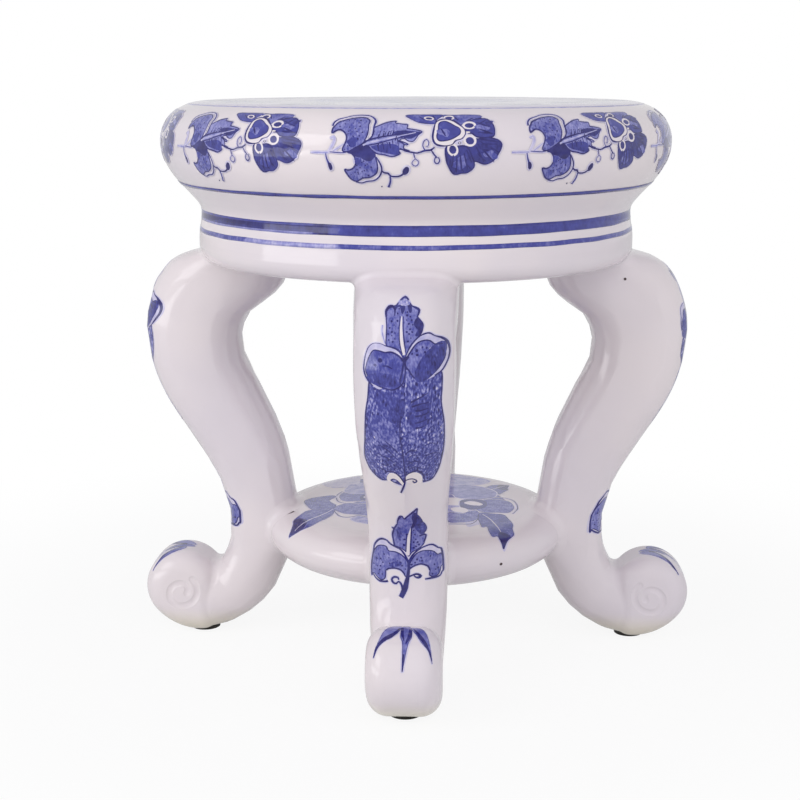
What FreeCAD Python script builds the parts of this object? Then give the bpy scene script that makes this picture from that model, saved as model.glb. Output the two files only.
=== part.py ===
# Round porcelain garden stool: a hollow-cast seat with a bullnose rim, four hollow-cast cabriole
# legs that end in scroll feet, and a low round shelf that ties the ankles together.
# Frame: origin on the floor under the seat's centre, +Z up, the front leg towards -Y. Millimetres.
import FreeCAD, Part
import math
import os

V = FreeCAD.Vector

# Overall
stool_height = 275.0            # floor to the flat of the seat

# Seat casting
seat_radius = 125.3             # the rim where it is fullest
seat_flat_radius = 103.5        # where the flat top starts to roll over
rim_drop = 19.0                 # seat top down to the fullest part of the rim
waist_drop = 52.6               # seat top down to the waist
seat_thickness = 8.0
casting_wall = 9.0              # wall of the seat casting and of the apron

# Apron
apron_radius = 107.9            # the band where it is fullest
waist_tuck = 1.5                # the waist above the band is narrower by this
apron_bulge_drop = 66.5         # seat top down to the fullest part of the band
apron_drop = 77.5               # seat top down to the underside
apron_edge_round = 8.0
underplate_thickness = 7.0
underplate_vent_radius = 1.7

# Legs: two side contours, an outer one and an inner one, set by landmarks
shoulder_stand = 2.1            # how far out of the band the leg's shoulder starts
shoulder_rise = 3.8             # that point above the underside
knee_reach = 137.1              # the leg where it stands out furthest
knee_drop = 35.5                # that point below the apron's underside
knee_back_reach = 89.4          # the hollow behind the knee
knee_back_drop = 41.5           # that hollow below the underside
root_reach = 62.0               # inner side of the leg at the underside
ankle_reach = 96.3              # outer side of the ankle
ankle_height = 61.0
ankle_back_reach = 62.8         # inner side of the ankle
ankle_back_height = 66.0
leg_width_top = 47.0
leg_width_knee = 45.5
leg_width_ankle = 37.4
leg_width_foot = 34.4
leg_wall = 5.5

# Scroll feet
scroll_reach = 121.6            # middle of the scroll's top arc from the stool's axis
scroll_radius = 19.5            # its top and outer side
scroll_drop = 23.7              # from there down to its lowest point, before grinding
scroll_turn = 40.0              # degrees below level where it opens into the flatter sole
scroll_edge_round = 10.0
scroll_step = 0.7               # the scroll's side faces stand out of the leg's by this
notch_round = 4.5               # between the ankle and the scroll
volute_radius = 8.5             # the soft spiral pressed into the scroll's side faces
groove_tool_radius = 3.5
groove_depth = 0.5
ground_depth = 1.2              # taken off the foot to seat its pad

# Pads under the feet
pad_radius = 7.5
pad_thickness = 2.0
adhesive_thickness = 0.5
adhesive_inset = 0.6
pad_reach = 112.0

# Shelf
shelf_radius = 76.5
shelf_top_height = 70.5
shelf_thickness = 26.0
shelf_dome = 1.2                # rise of the top's middle over the start of its edge
shelf_flat_radius = 60.0
shelf_wall = 6.0
shelf_cavity_radius = 52.0
vent_radius = 1.7
vent_reach = 68.0
vent_side = 19.5
vent_end_reach = 44.0

# Slip smoothed into the corners where the legs are luted on
apron_slip_round = 2.5
shelf_slip_round = 5.0

# Derived sizes
waist_radius = apron_radius - waist_tuck
shoulder_reach = apron_radius + shoulder_stand
underside_height = stool_height - apron_drop
waist_height = stool_height - waist_drop
foot_height = pad_thickness + adhesive_thickness
scroll_height = foot_height + scroll_drop - ground_depth

LEG_NAMES = {"right": 0.0, "back": 90.0, "left": 180.0, "front": 270.0}


def bezier_edge(points):
    curve = Part.BezierCurve()
    curve.setPoles([V(r, 0.0, z) for r, z in points])
    return curve.toShape()


def line_edge(a, b):
    return Part.makeLine(V(a[0], 0.0, a[1]), V(b[0], 0.0, b[1]))


def turned(edges):
    """Solid of revolution about the stool's axis from edges that close a section on one side of it."""
    face = Part.Face(Part.Wire(Part.__sortEdges__(edges)))
    solid = face.revolve(V(0.0, 0.0, 0.0), V(0.0, 0.0, 1.0), 360.0)
    # The seam line goes between two legs, where nothing is joined on.
    solid.rotate(V(0.0, 0.0, 0.0), V(0.0, 0.0, 1.0), 45.0)
    return solid


def rim_edges(wall, top):
    """Roll-over, bullnose and cove from the flat top down to the waist, moved in by the wall."""
    full = stool_height - rim_drop
    r_top = seat_flat_radius - wall * 0.3
    r_rim = seat_radius - wall
    r_waist = waist_radius - wall
    roll = bezier_edge([(r_top, top), (r_top + (r_rim - r_top) * 0.62, top),
                        (r_rim, full + (top - full) * 0.55), (r_rim, full)])
    drop = full - waist_height
    cove = bezier_edge([(r_rim, full), (r_rim, full - drop * 0.53),
                        (r_waist, waist_height + drop * 0.23), (r_waist, waist_height)])
    return [roll, cove], (r_top, top), (r_waist, waist_height)


def apron_edges():
    """Outer side of the band from the waist down to its rounded lower edge."""
    bulge = stool_height - apron_bulge_drop
    edge = min(apron_edge_round, casting_wall - 0.5)
    start = underside_height + edge
    upper = waist_height - bulge
    barrel = bezier_edge([(waist_radius, waist_height), (waist_radius, waist_height - upper * 0.4),
                          (apron_radius, bulge + upper * 0.4), (apron_radius, bulge)])
    fall = line_edge((apron_radius, bulge), (apron_radius, start))
    corner = Part.Edge(Part.Arc(
        V(apron_radius, 0.0, start),
        V(apron_radius - edge + edge * math.cos(math.pi / 4), 0.0, start - edge * math.sin(math.pi / 4)),
        V(apron_radius - edge, 0.0, underside_height)))
    return [barrel, fall, corner], (apron_radius - edge, underside_height)


def body_form():
    """The seat and the apron as one solid form, for trimming what meets them."""
    rim, top_start, waist = rim_edges(0.0, stool_height)
    side, corner_end = apron_edges()
    edges = [line_edge((0.0, stool_height), top_start)] + rim + side
    edges.append(line_edge(corner_end, (0.0, underside_height)))
    edges.append(line_edge((0.0, underside_height), (0.0, stool_height)))
    return turned(edges)


def seat_top():
    outer, top_start, waist = rim_edges(0.0, stool_height)
    under = stool_height - seat_thickness
    inner, inner_start, inner_waist = rim_edges(casting_wall, under)
    edges = [line_edge((0.0, stool_height), top_start)] + outer
    edges.append(line_edge(waist, inner_waist))
    edges += inner
    edges.append(line_edge(inner_start, (0.0, under)))
    edges.append(line_edge((0.0, under), (0.0, stool_height)))
    return turned(edges)


def plate_radius():
    return waist_radius - casting_wall


def apron_ring():
    side, corner_end = apron_edges()
    inner_low = (plate_radius(), underside_height)
    inner_high = (plate_radius(), waist_height)
    edges = list(side)
    edges.append(line_edge(corner_end, inner_low))
    edges.append(line_edge(inner_low, inner_high))
    edges.append(line_edge(inner_high, (waist_radius, waist_height)))
    return turned(edges)


def seat_underplate():
    plate = Part.makeCylinder(plate_radius(), underplate_thickness, V(0.0, 0.0, underside_height))
    vent = Part.makeCylinder(underplate_vent_radius, underplate_thickness * 3.0,
                             V(0.0, 0.0, underside_height - underplate_thickness))
    return plate.cut(vent)


def cubic(points, t):
    s = 1.0 - t
    weights = (s * s * s, 3.0 * s * s * t, 3.0 * s * t * t, t * t * t)
    return (sum(w * p[0] for w, p in zip(weights, points)),
            sum(w * p[1] for w, p in zip(weights, points)))


def leg_contours():
    """Cubic arcs of the leg's outer and inner side contours, from the apron down into the scroll."""
    shoulder = (shoulder_reach, underside_height + shoulder_rise)
    knee = (knee_reach, underside_height - knee_drop)
    ankle = (ankle_reach, ankle_height)
    out_end = (scroll_reach - scroll_radius * 0.30, scroll_height + scroll_radius * 0.32)
    root = (root_reach, underside_height)
    back = (knee_back_reach, underside_height - knee_back_drop)
    heel = (ankle_back_reach, ankle_back_height)
    lowest, sole_radius = scroll_sole()
    sole = (lowest + 1.0, scroll_height - scroll_drop * 0.985)

    def fall(a, b, high, low):
        drop = b[1] - a[1]
        return [a, (a[0], a[1] + drop * high), (b[0], a[1] + drop * low), b]

    outer = [
        [shoulder, (shoulder[0] + (knee[0] - shoulder[0]) * 0.56, shoulder[1]),
         (knee[0], knee[1] + (shoulder[1] - knee[1]) * 0.52), knee],
        fall(knee, ankle, 0.417, 0.666),
        [ankle, (ankle[0], ankle[1] - (ankle[1] - out_end[1]) * 0.62),
         (out_end[0] - (out_end[0] - ankle[0]) * 0.60, out_end[1]), out_end],
    ]
    inner = [
        fall(root, back, 0.487, 0.529),
        fall(back, heel, 0.228, 0.465),
        [heel, (heel[0], heel[1] - (heel[1] - sole[1]) * 0.58),
         (sole[0] - (sole[0] - heel[0]) * 0.58, sole[1]), sole],
    ]
    return outer, inner


def leg_stations():
    """Matched outer point, inner point and width of the sections down the leg."""
    outer, inner = leg_contours()
    widths = [(leg_width_top, leg_width_knee), (leg_width_knee, leg_width_ankle),
              (leg_width_ankle, leg_width_foot - 2.0 * scroll_step)]
    steps = [(0.0, 0.3, 0.6, 0.85), (0.0, 0.22, 0.42, 0.62, 0.82), (0.0, 0.3, 0.55, 0.78, 1.0)]
    stations = []
    for arc_out, arc_in, (w0, w1), ts in zip(outer, inner, widths, steps):
        for t in ts:
            ease = t * t * (3.0 - 2.0 * t)
            stations.append((cubic(arc_out, t), cubic(arc_in, t), w0 + (w1 - w0) * ease))
    first_out, first_in, first_width = stations[0]
    rise = casting_wall
    lead = ((first_out[0] - rise * 1.2, first_out[1] + rise * 0.3),
            (first_in[0] - rise * 0.05, first_in[1] + rise), first_width)
    return [lead] + stations


def section_wire(outer, inner, width, inset):
    """Soft-cornered oval section between an outer and an inner contour point."""
    power = 2.0 / 2.55
    cx = (outer[0] + inner[0]) / 2.0
    cz = (outer[1] + inner[1]) / 2.0
    length = math.hypot(outer[0] - inner[0], outer[1] - inner[1])
    nx = (outer[0] - inner[0]) / length
    nz = (outer[1] - inner[1]) / length
    half_depth = length / 2.0 - inset
    half_width = width / 2.0 - inset
    points = []
    count = 16
    for k in range(count):
        a = 2.0 * math.pi * k / count
        c = math.copysign(abs(math.cos(a)) ** power, math.cos(a)) * half_depth
        s = math.copysign(abs(math.sin(a)) ** power, math.sin(a)) * half_width
        points.append(V(cx + nx * c, s, cz + nz * c))
    curve = Part.BSplineCurve()
    curve.interpolate(Points=points, PeriodicFlag=True)
    return Part.Wire([curve.toShape()])


def leg_sleeve(inset, last=0):
    stations = leg_stations()
    if last:
        stations = stations[:-last]
    wires = [section_wire(o, i, w, inset) for o, i, w in stations]
    return Part.makeLoft(wires, True, False)


def scroll_disc():
    """The foot's scroll: a thick volute about a tangential axis, with rolled edges."""
    half = leg_width_foot / 2.0
    lowest, sole_radius = scroll_sole()
    heel_radius = lowest - scroll_reach + scroll_radius
    floor = scroll_height - scroll_drop

    def spot(x, z):
        return V(x, -half, z)

    def arc(x, z, radius, start, end):
        angles = [math.radians(d) for d in (start, (start + end) / 2.0, end)]
        return Part.Arc(*[spot(x + radius * math.cos(a), z + radius * math.sin(a)) for a in angles]).toShape()

    back = scroll_reach - scroll_radius
    outline = [
        arc(scroll_reach, scroll_height, scroll_radius, -scroll_turn, 70.0),
        arc(scroll_reach, scroll_height, scroll_radius, 70.0, 180.0),
        Part.makeLine(spot(back, scroll_height), spot(back, floor + heel_radius)),
        arc(lowest, floor + heel_radius, heel_radius, 180.0, 270.0),
        arc(lowest, floor + sole_radius, sole_radius, 270.0, 360.0 - scroll_turn),
    ]
    block = Part.Face(Part.Wire(outline)).extrude(V(0.0, leg_width_foot, 0.0))
    edge = min(scroll_edge_round, half - 1.0, heel_radius - 0.4)
    rims = [e for e in block.Edges if e.BoundBox.YLength < 0.01]
    return block.makeFillet(edge, rims)


def scroll_sole():
    """Where the scroll is lowest, and the radius of the flatter arc that leads there."""
    turn = math.radians(scroll_turn)
    radius = (scroll_drop - scroll_radius * math.sin(turn)) / (1.0 - math.sin(turn))
    return scroll_reach + (scroll_radius - radius) * math.cos(turn), radius


def volute_groove(side):
    """Round tool that follows a volute on one side face of the scroll, in three arcs."""
    height = side * (leg_width_foot / 2.0 + groove_tool_radius - groove_depth)
    turns = [(volute_radius, 0.0, 135.0, 270.0),
             (volute_radius * 0.73, -volute_radius * 0.27, 270.0, 450.0),
             (volute_radius * 0.42, volute_radius * 0.04, 90.0, 215.0)]
    pieces = []
    for radius, lift, start, end in turns:
        centre = V(scroll_reach, height, scroll_height + lift)
        spots = []
        for degrees in (start, end):
            turn = math.radians(degrees)
            spots.append(centre + V(radius * math.cos(turn), 0.0, radius * math.sin(turn)))
        way = math.radians(start)
        tangent = V(-math.sin(way), 0.0, math.cos(way))
        ring = Part.Face(Part.Wire(Part.makeCircle(groove_tool_radius, spots[0], tangent)))
        pieces.append(ring.revolve(centre, V(0.0, -1.0, 0.0), end - start))
        pieces.extend(Part.makeSphere(groove_tool_radius, spot) for spot in spots)
    return pieces[0].multiFuse(pieces[1:])


def joint_edges(whole, first, second):
    """Edges of a fused form that lie on the skins of both forms it was made from."""
    skins = (first.Shells[0], second.Shells[0])
    found = []
    for edge in whole.Edges:
        mark = Part.Vertex(edge.valueAt((edge.FirstParameter + edge.LastParameter) / 2.0))
        if edge.Length > 0.05 and all(skin.distToShape(mark)[0] < 0.002 for skin in skins):
            found.append(edge)
    return found


def joined(first, second, radius):
    """Two forms fused, with clay smoothed into the corner between them."""
    whole = first.fuse(second)
    return whole.makeFillet(radius, joint_edges(whole, first, second))


def trimmed(shape, tool):
    """The shape with the tool cut off it, without any crumb the cut leaves along its edge."""
    return max(shape.cut(tool).Solids, key=lambda solid: solid.Volume)


def leg_form():
    """Outer form of one leg on the +X side, from inside the apron to its scroll, before trimming."""
    sleeve = leg_sleeve(0.0)
    scroll = scroll_disc()
    form = sleeve.fuse(scroll)
    notch = [e for e in joint_edges(form, sleeve, scroll)
             if e.BoundBox.ZMin > scroll_height]
    form = form.makeFillet(notch_round, notch)
    below = Part.makeBox(scroll_radius * 4.0, leg_width_foot * 2.0, scroll_radius,
                         V(scroll_reach - scroll_radius * 3.0, -leg_width_foot, foot_height - scroll_radius))
    form = form.cut(below)
    for side in (-1.0, 1.0):
        form = form.cut(volute_groove(side))
    return form


def turn_about_axis(shape, degrees):
    copy = shape.copy()
    copy.rotate(V(0.0, 0.0, 0.0), V(0.0, 0.0, 1.0), degrees)
    return copy


def leg(form, body, disc):
    """A hollow leg, trimmed to the seat's underside, with the slip that joins it to seat and shelf."""
    hung = trimmed(joined(body, form, apron_slip_round), body)
    tied = trimmed(joined(disc, hung, shelf_slip_round), disc.cut(form))
    return trimmed(tied, leg_sleeve(leg_wall, 3))


def shelf_form():
    half = shelf_thickness / 2.0
    mid = shelf_top_height - half
    lift = shelf_top_height
    edge_top = lift - shelf_dome
    low = lift - shelf_thickness
    top = bezier_edge([(0.0, lift), (shelf_flat_radius * 0.5, lift),
                       (shelf_flat_radius * 0.8, edge_top + shelf_dome * 0.3),
                       (shelf_flat_radius, edge_top)])
    run = shelf_radius - shelf_flat_radius
    upper = bezier_edge([(shelf_flat_radius, edge_top), (shelf_flat_radius + run * 0.62, edge_top - shelf_dome * 0.7),
                         (shelf_radius, mid + half * 0.5), (shelf_radius, mid)])
    lower = bezier_edge([(shelf_radius, mid), (shelf_radius, mid - half * 0.55),
                         (shelf_flat_radius + run * 0.5, low), (shelf_flat_radius, low)])
    edges = [top, upper, lower, line_edge((shelf_flat_radius, low), (0.0, low)),
             line_edge((0.0, low), (0.0, lift))]
    return turned(edges)


def shelf(disc, leg_forms):
    mid = shelf_top_height - shelf_thickness / 2.0
    low = shelf_top_height - shelf_thickness
    cavity_height = shelf_thickness - 2.0 * shelf_wall - shelf_dome
    cavity = Part.makeCylinder(shelf_cavity_radius, cavity_height, V(0.0, 0.0, low + shelf_wall))
    disc = disc.cut(cavity)
    aim = V(-vent_end_reach, -vent_side * 0.75, mid)
    mouth = V(-vent_reach, -vent_side, shelf_top_height)
    reach = aim - mouth
    start = mouth - reach * 0.3
    disc = disc.cut(Part.makeCylinder(vent_radius, reach.Length * 1.3, start, reach))
    for form in leg_forms:
        disc = disc.cut(form)
    return disc


def foot_pad():
    return Part.makeCylinder(pad_radius, pad_thickness, V(pad_reach, 0.0, 0.0))


def pad_adhesive():
    return Part.makeCylinder(pad_radius - adhesive_inset, adhesive_thickness, V(pad_reach, 0.0, pad_thickness))


def build():
    body = body_form()
    form = leg_form()
    disc = shelf_form()
    pieces = {
        "seat_top": seat_top(),
        "apron_ring": apron_ring(),
        "seat_underplate": seat_underplate(),
        "shelf": shelf(disc, [turn_about_axis(form, a) for a in LEG_NAMES.values()]),
    }
    one_leg = leg(form, body, disc)
    for name, angle in LEG_NAMES.items():
        pieces["leg_" + name] = turn_about_axis(one_leg, angle)
        pieces["foot_pad_" + name] = turn_about_axis(foot_pad(), angle)
        pieces["pad_adhesive_" + name] = turn_about_axis(pad_adhesive(), angle)
    return pieces


os.makedirs("parts", exist_ok=True)
for node, shape in build().items():
    solids = shape.Solids
    print(node, "solids", len(solids), "volume", round(shape.Volume, 1), "valid", shape.isValid())
    if len(solids) == 1:
        shape = solids[0]
    shape.exportStep("parts/" + node + ".step")
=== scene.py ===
"""Porcelain garden stool: glaze, cobalt painting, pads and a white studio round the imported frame."""

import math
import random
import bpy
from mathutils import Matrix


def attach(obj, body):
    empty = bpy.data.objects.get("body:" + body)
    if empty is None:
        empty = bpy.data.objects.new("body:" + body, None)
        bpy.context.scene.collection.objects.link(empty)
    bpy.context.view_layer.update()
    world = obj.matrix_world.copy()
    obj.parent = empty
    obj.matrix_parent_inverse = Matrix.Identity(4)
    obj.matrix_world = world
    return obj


bl_info = {
    "name": "Porcelain garden stool",
    "version": (1, 0, 0),
    "blender": (4, 5, 0),
    "location": "View3D > Sidebar > Stool",
    "description": "Glazes and paints a blue and white garden stool and sets up its studio",
    "category": "Object",
}

import bpy
import numpy as np
from mathutils import Matrix, Vector
from mathutils.bvhtree import BVHTree
from mathutils.geometry import delaunay_2d_cdt

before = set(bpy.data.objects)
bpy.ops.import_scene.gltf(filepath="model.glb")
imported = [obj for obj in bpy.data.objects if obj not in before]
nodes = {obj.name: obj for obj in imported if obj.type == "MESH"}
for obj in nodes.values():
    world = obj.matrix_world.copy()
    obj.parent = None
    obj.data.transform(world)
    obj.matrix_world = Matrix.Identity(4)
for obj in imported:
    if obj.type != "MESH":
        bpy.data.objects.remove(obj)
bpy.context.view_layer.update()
SIDES = ("front", "right", "back", "left")
PORCELAIN_NODES = (("seat_top", "apron_ring", "seat_underplate", "shelf")
                   + tuple("leg_" + side for side in SIDES))

# Measures of the porcelain in millimetres
SEAT_HEIGHT = 275.0
SEAT_FILM_RADIUS = 110.6
SHELF_HEIGHT = 71.0
RIM_RADIUS = 125.3
IN_FRONT_OF_THE_LEG = 145.0
SCROLL_REACH = 121.6
SCROLL_HEIGHT = 25.0
SCROLL_RADIUS = 19.8
SCROLL_UNROLLED = 19.5

# Painted films: thickness in metres, the other distances in millimetres, the row step as a share of the grid
FILM_THICKNESS = 0.00016
MERGE_DISTANCE = 0.002
ROW_STEP = 0.87
POOL_CORNERS = 20
DOT_CORNERS = 6
BAND_CORNERS = 360
BAND_WAVE = 0.045
BAND_GRAIN = 0.12

# The drawn edge of a wash, and the pale bleed round each shape that is darker than the faintest
EDGE_TONE = 0.95
FAINTEST_BLEED = 0.2
BLEED_TONE = 0.13
BLEED_WIDTHS = (1.1, 1.5, 1.1)
BLEED_EXTRA = 0.9

# Sprays round the rim: how many, the first one's turn and how far each may slip, in degrees
RIM_SPRAYS = 9
RIM_START = 0.4
RIM_SLIP = 0.5

# The broad band's join in degrees from the front, and the darkness of the band's rows at the left of the join
JOIN_LEFT = -22.0
JOIN_RIGHT = -18.6
LEFT_END = -176.0
LEFT_ROWS = (0.7, 0.95, 0.95, 0.88, 0.4)

# Sprays on the seat: how many, their turn in degrees, their scale and where they start
SEAT_SPRAYS = 6
SEAT_TURN = 12.0
SEAT_SCALE = 0.98
SPRAY_REACH = 102.0
SPRAY_TOP = 14.0

# One petal as shares of its length and width, and the rings of petals from the outermost to the innermost:
# count, reach of the start, reach of the tip, width, darkness and turn
PETAL = ((0.1, -0.16), (0.62, -0.47), (0.92, -0.38), (1.0, -0.08), (0.94, 0.1), (1.0, 0.3), (0.8, 0.48),
         (0.5, 0.4), (0.1, 0.16))
PETAL_RINGS = ((7, 10.0, 56.0, 38.0, 0.36, 0.0),
               (6, 8.0, 41.0, 30.0, 0.5, 0.4),
               (5, 4.0, 26.0, 22.0, 0.66, 0.2))

# Iron specks: host, place, half width and half height in millimetres, and how far they stand out of the glaze
# and go into it, in metres
SPECKS = (("speck_shelf_front", "shelf", (43.8, -62.6, 56.4), 0.9, 0.7),
          ("speck_leg_right", "leg_right", (103.2, -23.0, 189.9), 0.7, 0.7),
          ("speck_apron_front", "apron_ring", (-2.6, -113.5, 200.3), 0.8, 0.5))
SPECK_OUT = 0.0002
SPECK_IN = 0.0003

# The photograph's camera: place in metres, tilt and turn in degrees
CAMERA_PLACE = (0.0344, -0.7869, 0.2911)
CAMERA_TILT = 78.0
CAMERA_TURN = 2.5
CAMERA_SENSOR = 36.0
CAMERA_LENS = 70.47
CAMERA_SHIFT = -0.0201

# Lamps: place, the height on the stool's axis that each one faces, and its size, all in metres
SOFTBOXES = (("softbox_left", "key_power", (-1.35, -1.05, 0.95), 0.14, (0.95, 1.25)),
             ("softbox_front", "fill_power", (0.35, -1.9, 1.35), 0.15, (1.6, 0.9)),
             ("softbox_right", "side_power", (1.45, -0.95, 0.75), 0.14, (0.9, 0.9)))
WINDOWS = (("window_low", 0.35, (-1.27, -0.8, 0.16), 0.2, (1.2, 0.36)),
           ("window_high", 0.5, (-1.25, -1.0, 0.98), 0.2, (0.9, 0.8)))

# White of the floor and the room: the floor turns white between two distances from the stool, in metres
PAPER_WHITE = 0.85
NEAR_FLOOR = 0.14
FAR_FLOOR = 0.42
NEAR_SHARE = 0.9
FLOOR_IN_GLOSS = 0.35
ROOM_IN_GLOSS = 0.62


def srgb(red, green, blue):
    """A colour given in 0 to 255 steps, as the linear values a shader takes."""
    parts = []
    for value in (red, green, blue):
        part = value / 255.0
        parts.append(part / 12.92 if part <= 0.04045 else ((part + 0.055) / 1.055) ** 2.4)
    return tuple(parts)


class GlazeSettings(bpy.types.PropertyGroup):
    """Clear glaze over white porcelain."""
    body: bpy.props.FloatVectorProperty(
        name="Body", description="White of the porcelain under the glaze", subtype="COLOR",
        size=3, min=0.0, max=1.0, default=srgb(232, 223, 225))
    cloud: bpy.props.FloatVectorProperty(
        name="Cloud", description="Cooler white where the glaze lies thicker", subtype="COLOR",
        size=3, min=0.0, max=1.0, default=srgb(224, 216, 222))
    foot_tint: bpy.props.FloatVectorProperty(
        name="Foot tint", description="Warm white of the thin glaze at the foot", subtype="COLOR",
        size=3, min=0.0, max=1.0, default=srgb(226, 219, 204))
    speck: bpy.props.FloatVectorProperty(
        name="Speck", description="Colour of iron specks and pinholes", subtype="COLOR",
        size=3, min=0.0, max=1.0, default=srgb(92, 84, 92))
    gloss: bpy.props.FloatProperty(
        name="Roughness", description="Roughness of the fired glaze", min=0.0, max=1.0, default=0.10)
    peel: bpy.props.FloatProperty(
        name="Peel", description="Depth of the glaze's soft unevenness", subtype="DISTANCE",
        min=0.0, max=0.002, precision=6, default=0.00016)


class CobaltSettings(bpy.types.PropertyGroup):
    """Cobalt painted under the glaze."""
    faint: bpy.props.FloatVectorProperty(
        name="Faint wash", description="Wash so thin that the porcelain shows through", subtype="COLOR",
        size=3, min=0.0, max=1.0, default=srgb(208, 202, 228))
    pale: bpy.props.FloatVectorProperty(
        name="Pale wash", description="Thin wash", subtype="COLOR",
        size=3, min=0.0, max=1.0, default=srgb(146, 146, 204))
    middle: bpy.props.FloatVectorProperty(
        name="Middle wash", description="Body colour of the painting", subtype="COLOR",
        size=3, min=0.0, max=1.0, default=srgb(64, 68, 156))
    dark: bpy.props.FloatVectorProperty(
        name="Outline", description="Pooled cobalt and outlines", subtype="COLOR",
        size=3, min=0.0, max=1.0, default=srgb(24, 12, 94))
    lift: bpy.props.FloatProperty(
        name="Lift", description="Height of the painted layer over the porcelain", subtype="DISTANCE",
        min=0.00002, max=0.001, precision=6, default=0.00009)


class PadSettings(bpy.types.PropertyGroup):
    """Stick-on pads under the feet."""
    rubber: bpy.props.FloatVectorProperty(
        name="Rubber", description="Colour of the pads", subtype="COLOR",
        size=3, min=0.0, max=1.0, default=srgb(36, 33, 29))
    adhesive: bpy.props.FloatVectorProperty(
        name="Adhesive", description="Colour of the adhesive foam", subtype="COLOR",
        size=3, min=0.0, max=1.0, default=srgb(206, 200, 184))


class StudioSettings(bpy.types.PropertyGroup):
    """White studio with a softbox at the left."""
    key_power: bpy.props.FloatProperty(
        name="Softbox", description="Power of the softbox at the left", subtype="POWER", default=14.5)
    fill_power: bpy.props.FloatProperty(
        name="Fill", description="Power of the broad light over the camera", subtype="POWER", default=9.0)
    side_power: bpy.props.FloatProperty(
        name="Right softbox", description="Power of the softbox at the right", subtype="POWER", default=6.5)
    window_power: bpy.props.FloatProperty(
        name="Windows", description="Power of the windows that only show in the gloss", subtype="POWER",
        default=7.0)
    room: bpy.props.FloatProperty(
        name="Room", description="Strength of the light from all round", min=0.0, default=0.42)
    floor_size: bpy.props.FloatProperty(
        name="Floor", description="Side of the square floor", subtype="DISTANCE", default=6.0)


def clear_selection():
    if bpy.context.mode != "OBJECT":
        bpy.ops.object.mode_set(mode="OBJECT")
    bpy.ops.object.select_all(action="DESELECT")


def select_only(piece):
    clear_selection()
    piece.select_set(True)
    bpy.context.view_layer.objects.active = piece


def dress(piece, material):
    """Gives a new piece its finish and lets it move with the stool."""
    piece.data.materials.clear()
    piece.data.materials.append(material)
    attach(piece, "root")


def wash(tone, edge, grain, numbers):
    """A filled shape with a drawn edge: its darkness, the edge's width and how mottled it is."""
    return ("wash", tone, edge, grain, pairs(numbers))


def stroke(tone, widths, numbers):
    """A brush stroke through the points, with its width at even steps along it."""
    return ("stroke", tone, widths, 0.0, pairs(numbers))


def strokes(tone, widths, *routes):
    """Brush strokes alike in darkness and width."""
    return [stroke(tone, widths, numbers) for numbers in routes]


def dots(tone, radius, numbers):
    return ("dots", tone, radius, 0.0, pairs(numbers))


def pool(tone, across, up, length, width, turn):
    """An oval pool of wash."""
    return ("pool", tone, (length, width, turn), 0.55, [(across, up)])


def pairs(numbers):
    return list(zip(numbers[0::2], numbers[1::2]))


def ring_of_numbers(count, reach, step):
    """Points at even steps round a circle, the step in radians."""
    return [reach * part for index in range(count)
            for part in (math.cos(index * step), math.sin(index * step))]


def smooth_curve(points, closed, step):
    """Places on a smooth curve through the points, each with its share of the way along."""
    count = len(points)
    spans = count if closed else count - 1
    curve = []
    for index in range(spans):
        if closed:
            near = [points[(index + shift) % count] for shift in (-1, 0, 1, 2)]
        else:
            near = [points[min(max(index + shift, 0), count - 1)] for shift in (-1, 0, 1, 2)]
        before, start, end, after = near
        parts = max(1, round(math.dist(start, end) / step))
        for part in range(parts):
            curve.append((between(before, start, end, after, part / parts), (index + part / parts) / spans))
    if not closed:
        curve.append((points[-1], 1.0))
    return curve


def between(before, start, end, after, share):
    """The point on a smooth curve at a share of the way from start to end."""
    place = []
    for a, b, c, d in zip(before, start, end, after):
        pull = 2.0 * b + (c - a) * share + (2.0 * a - 5.0 * b + 4.0 * c - d) * share ** 2
        place.append(0.5 * (pull + (3.0 * b - a - 3.0 * c + d) * share ** 3))
    return tuple(place)


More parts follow.
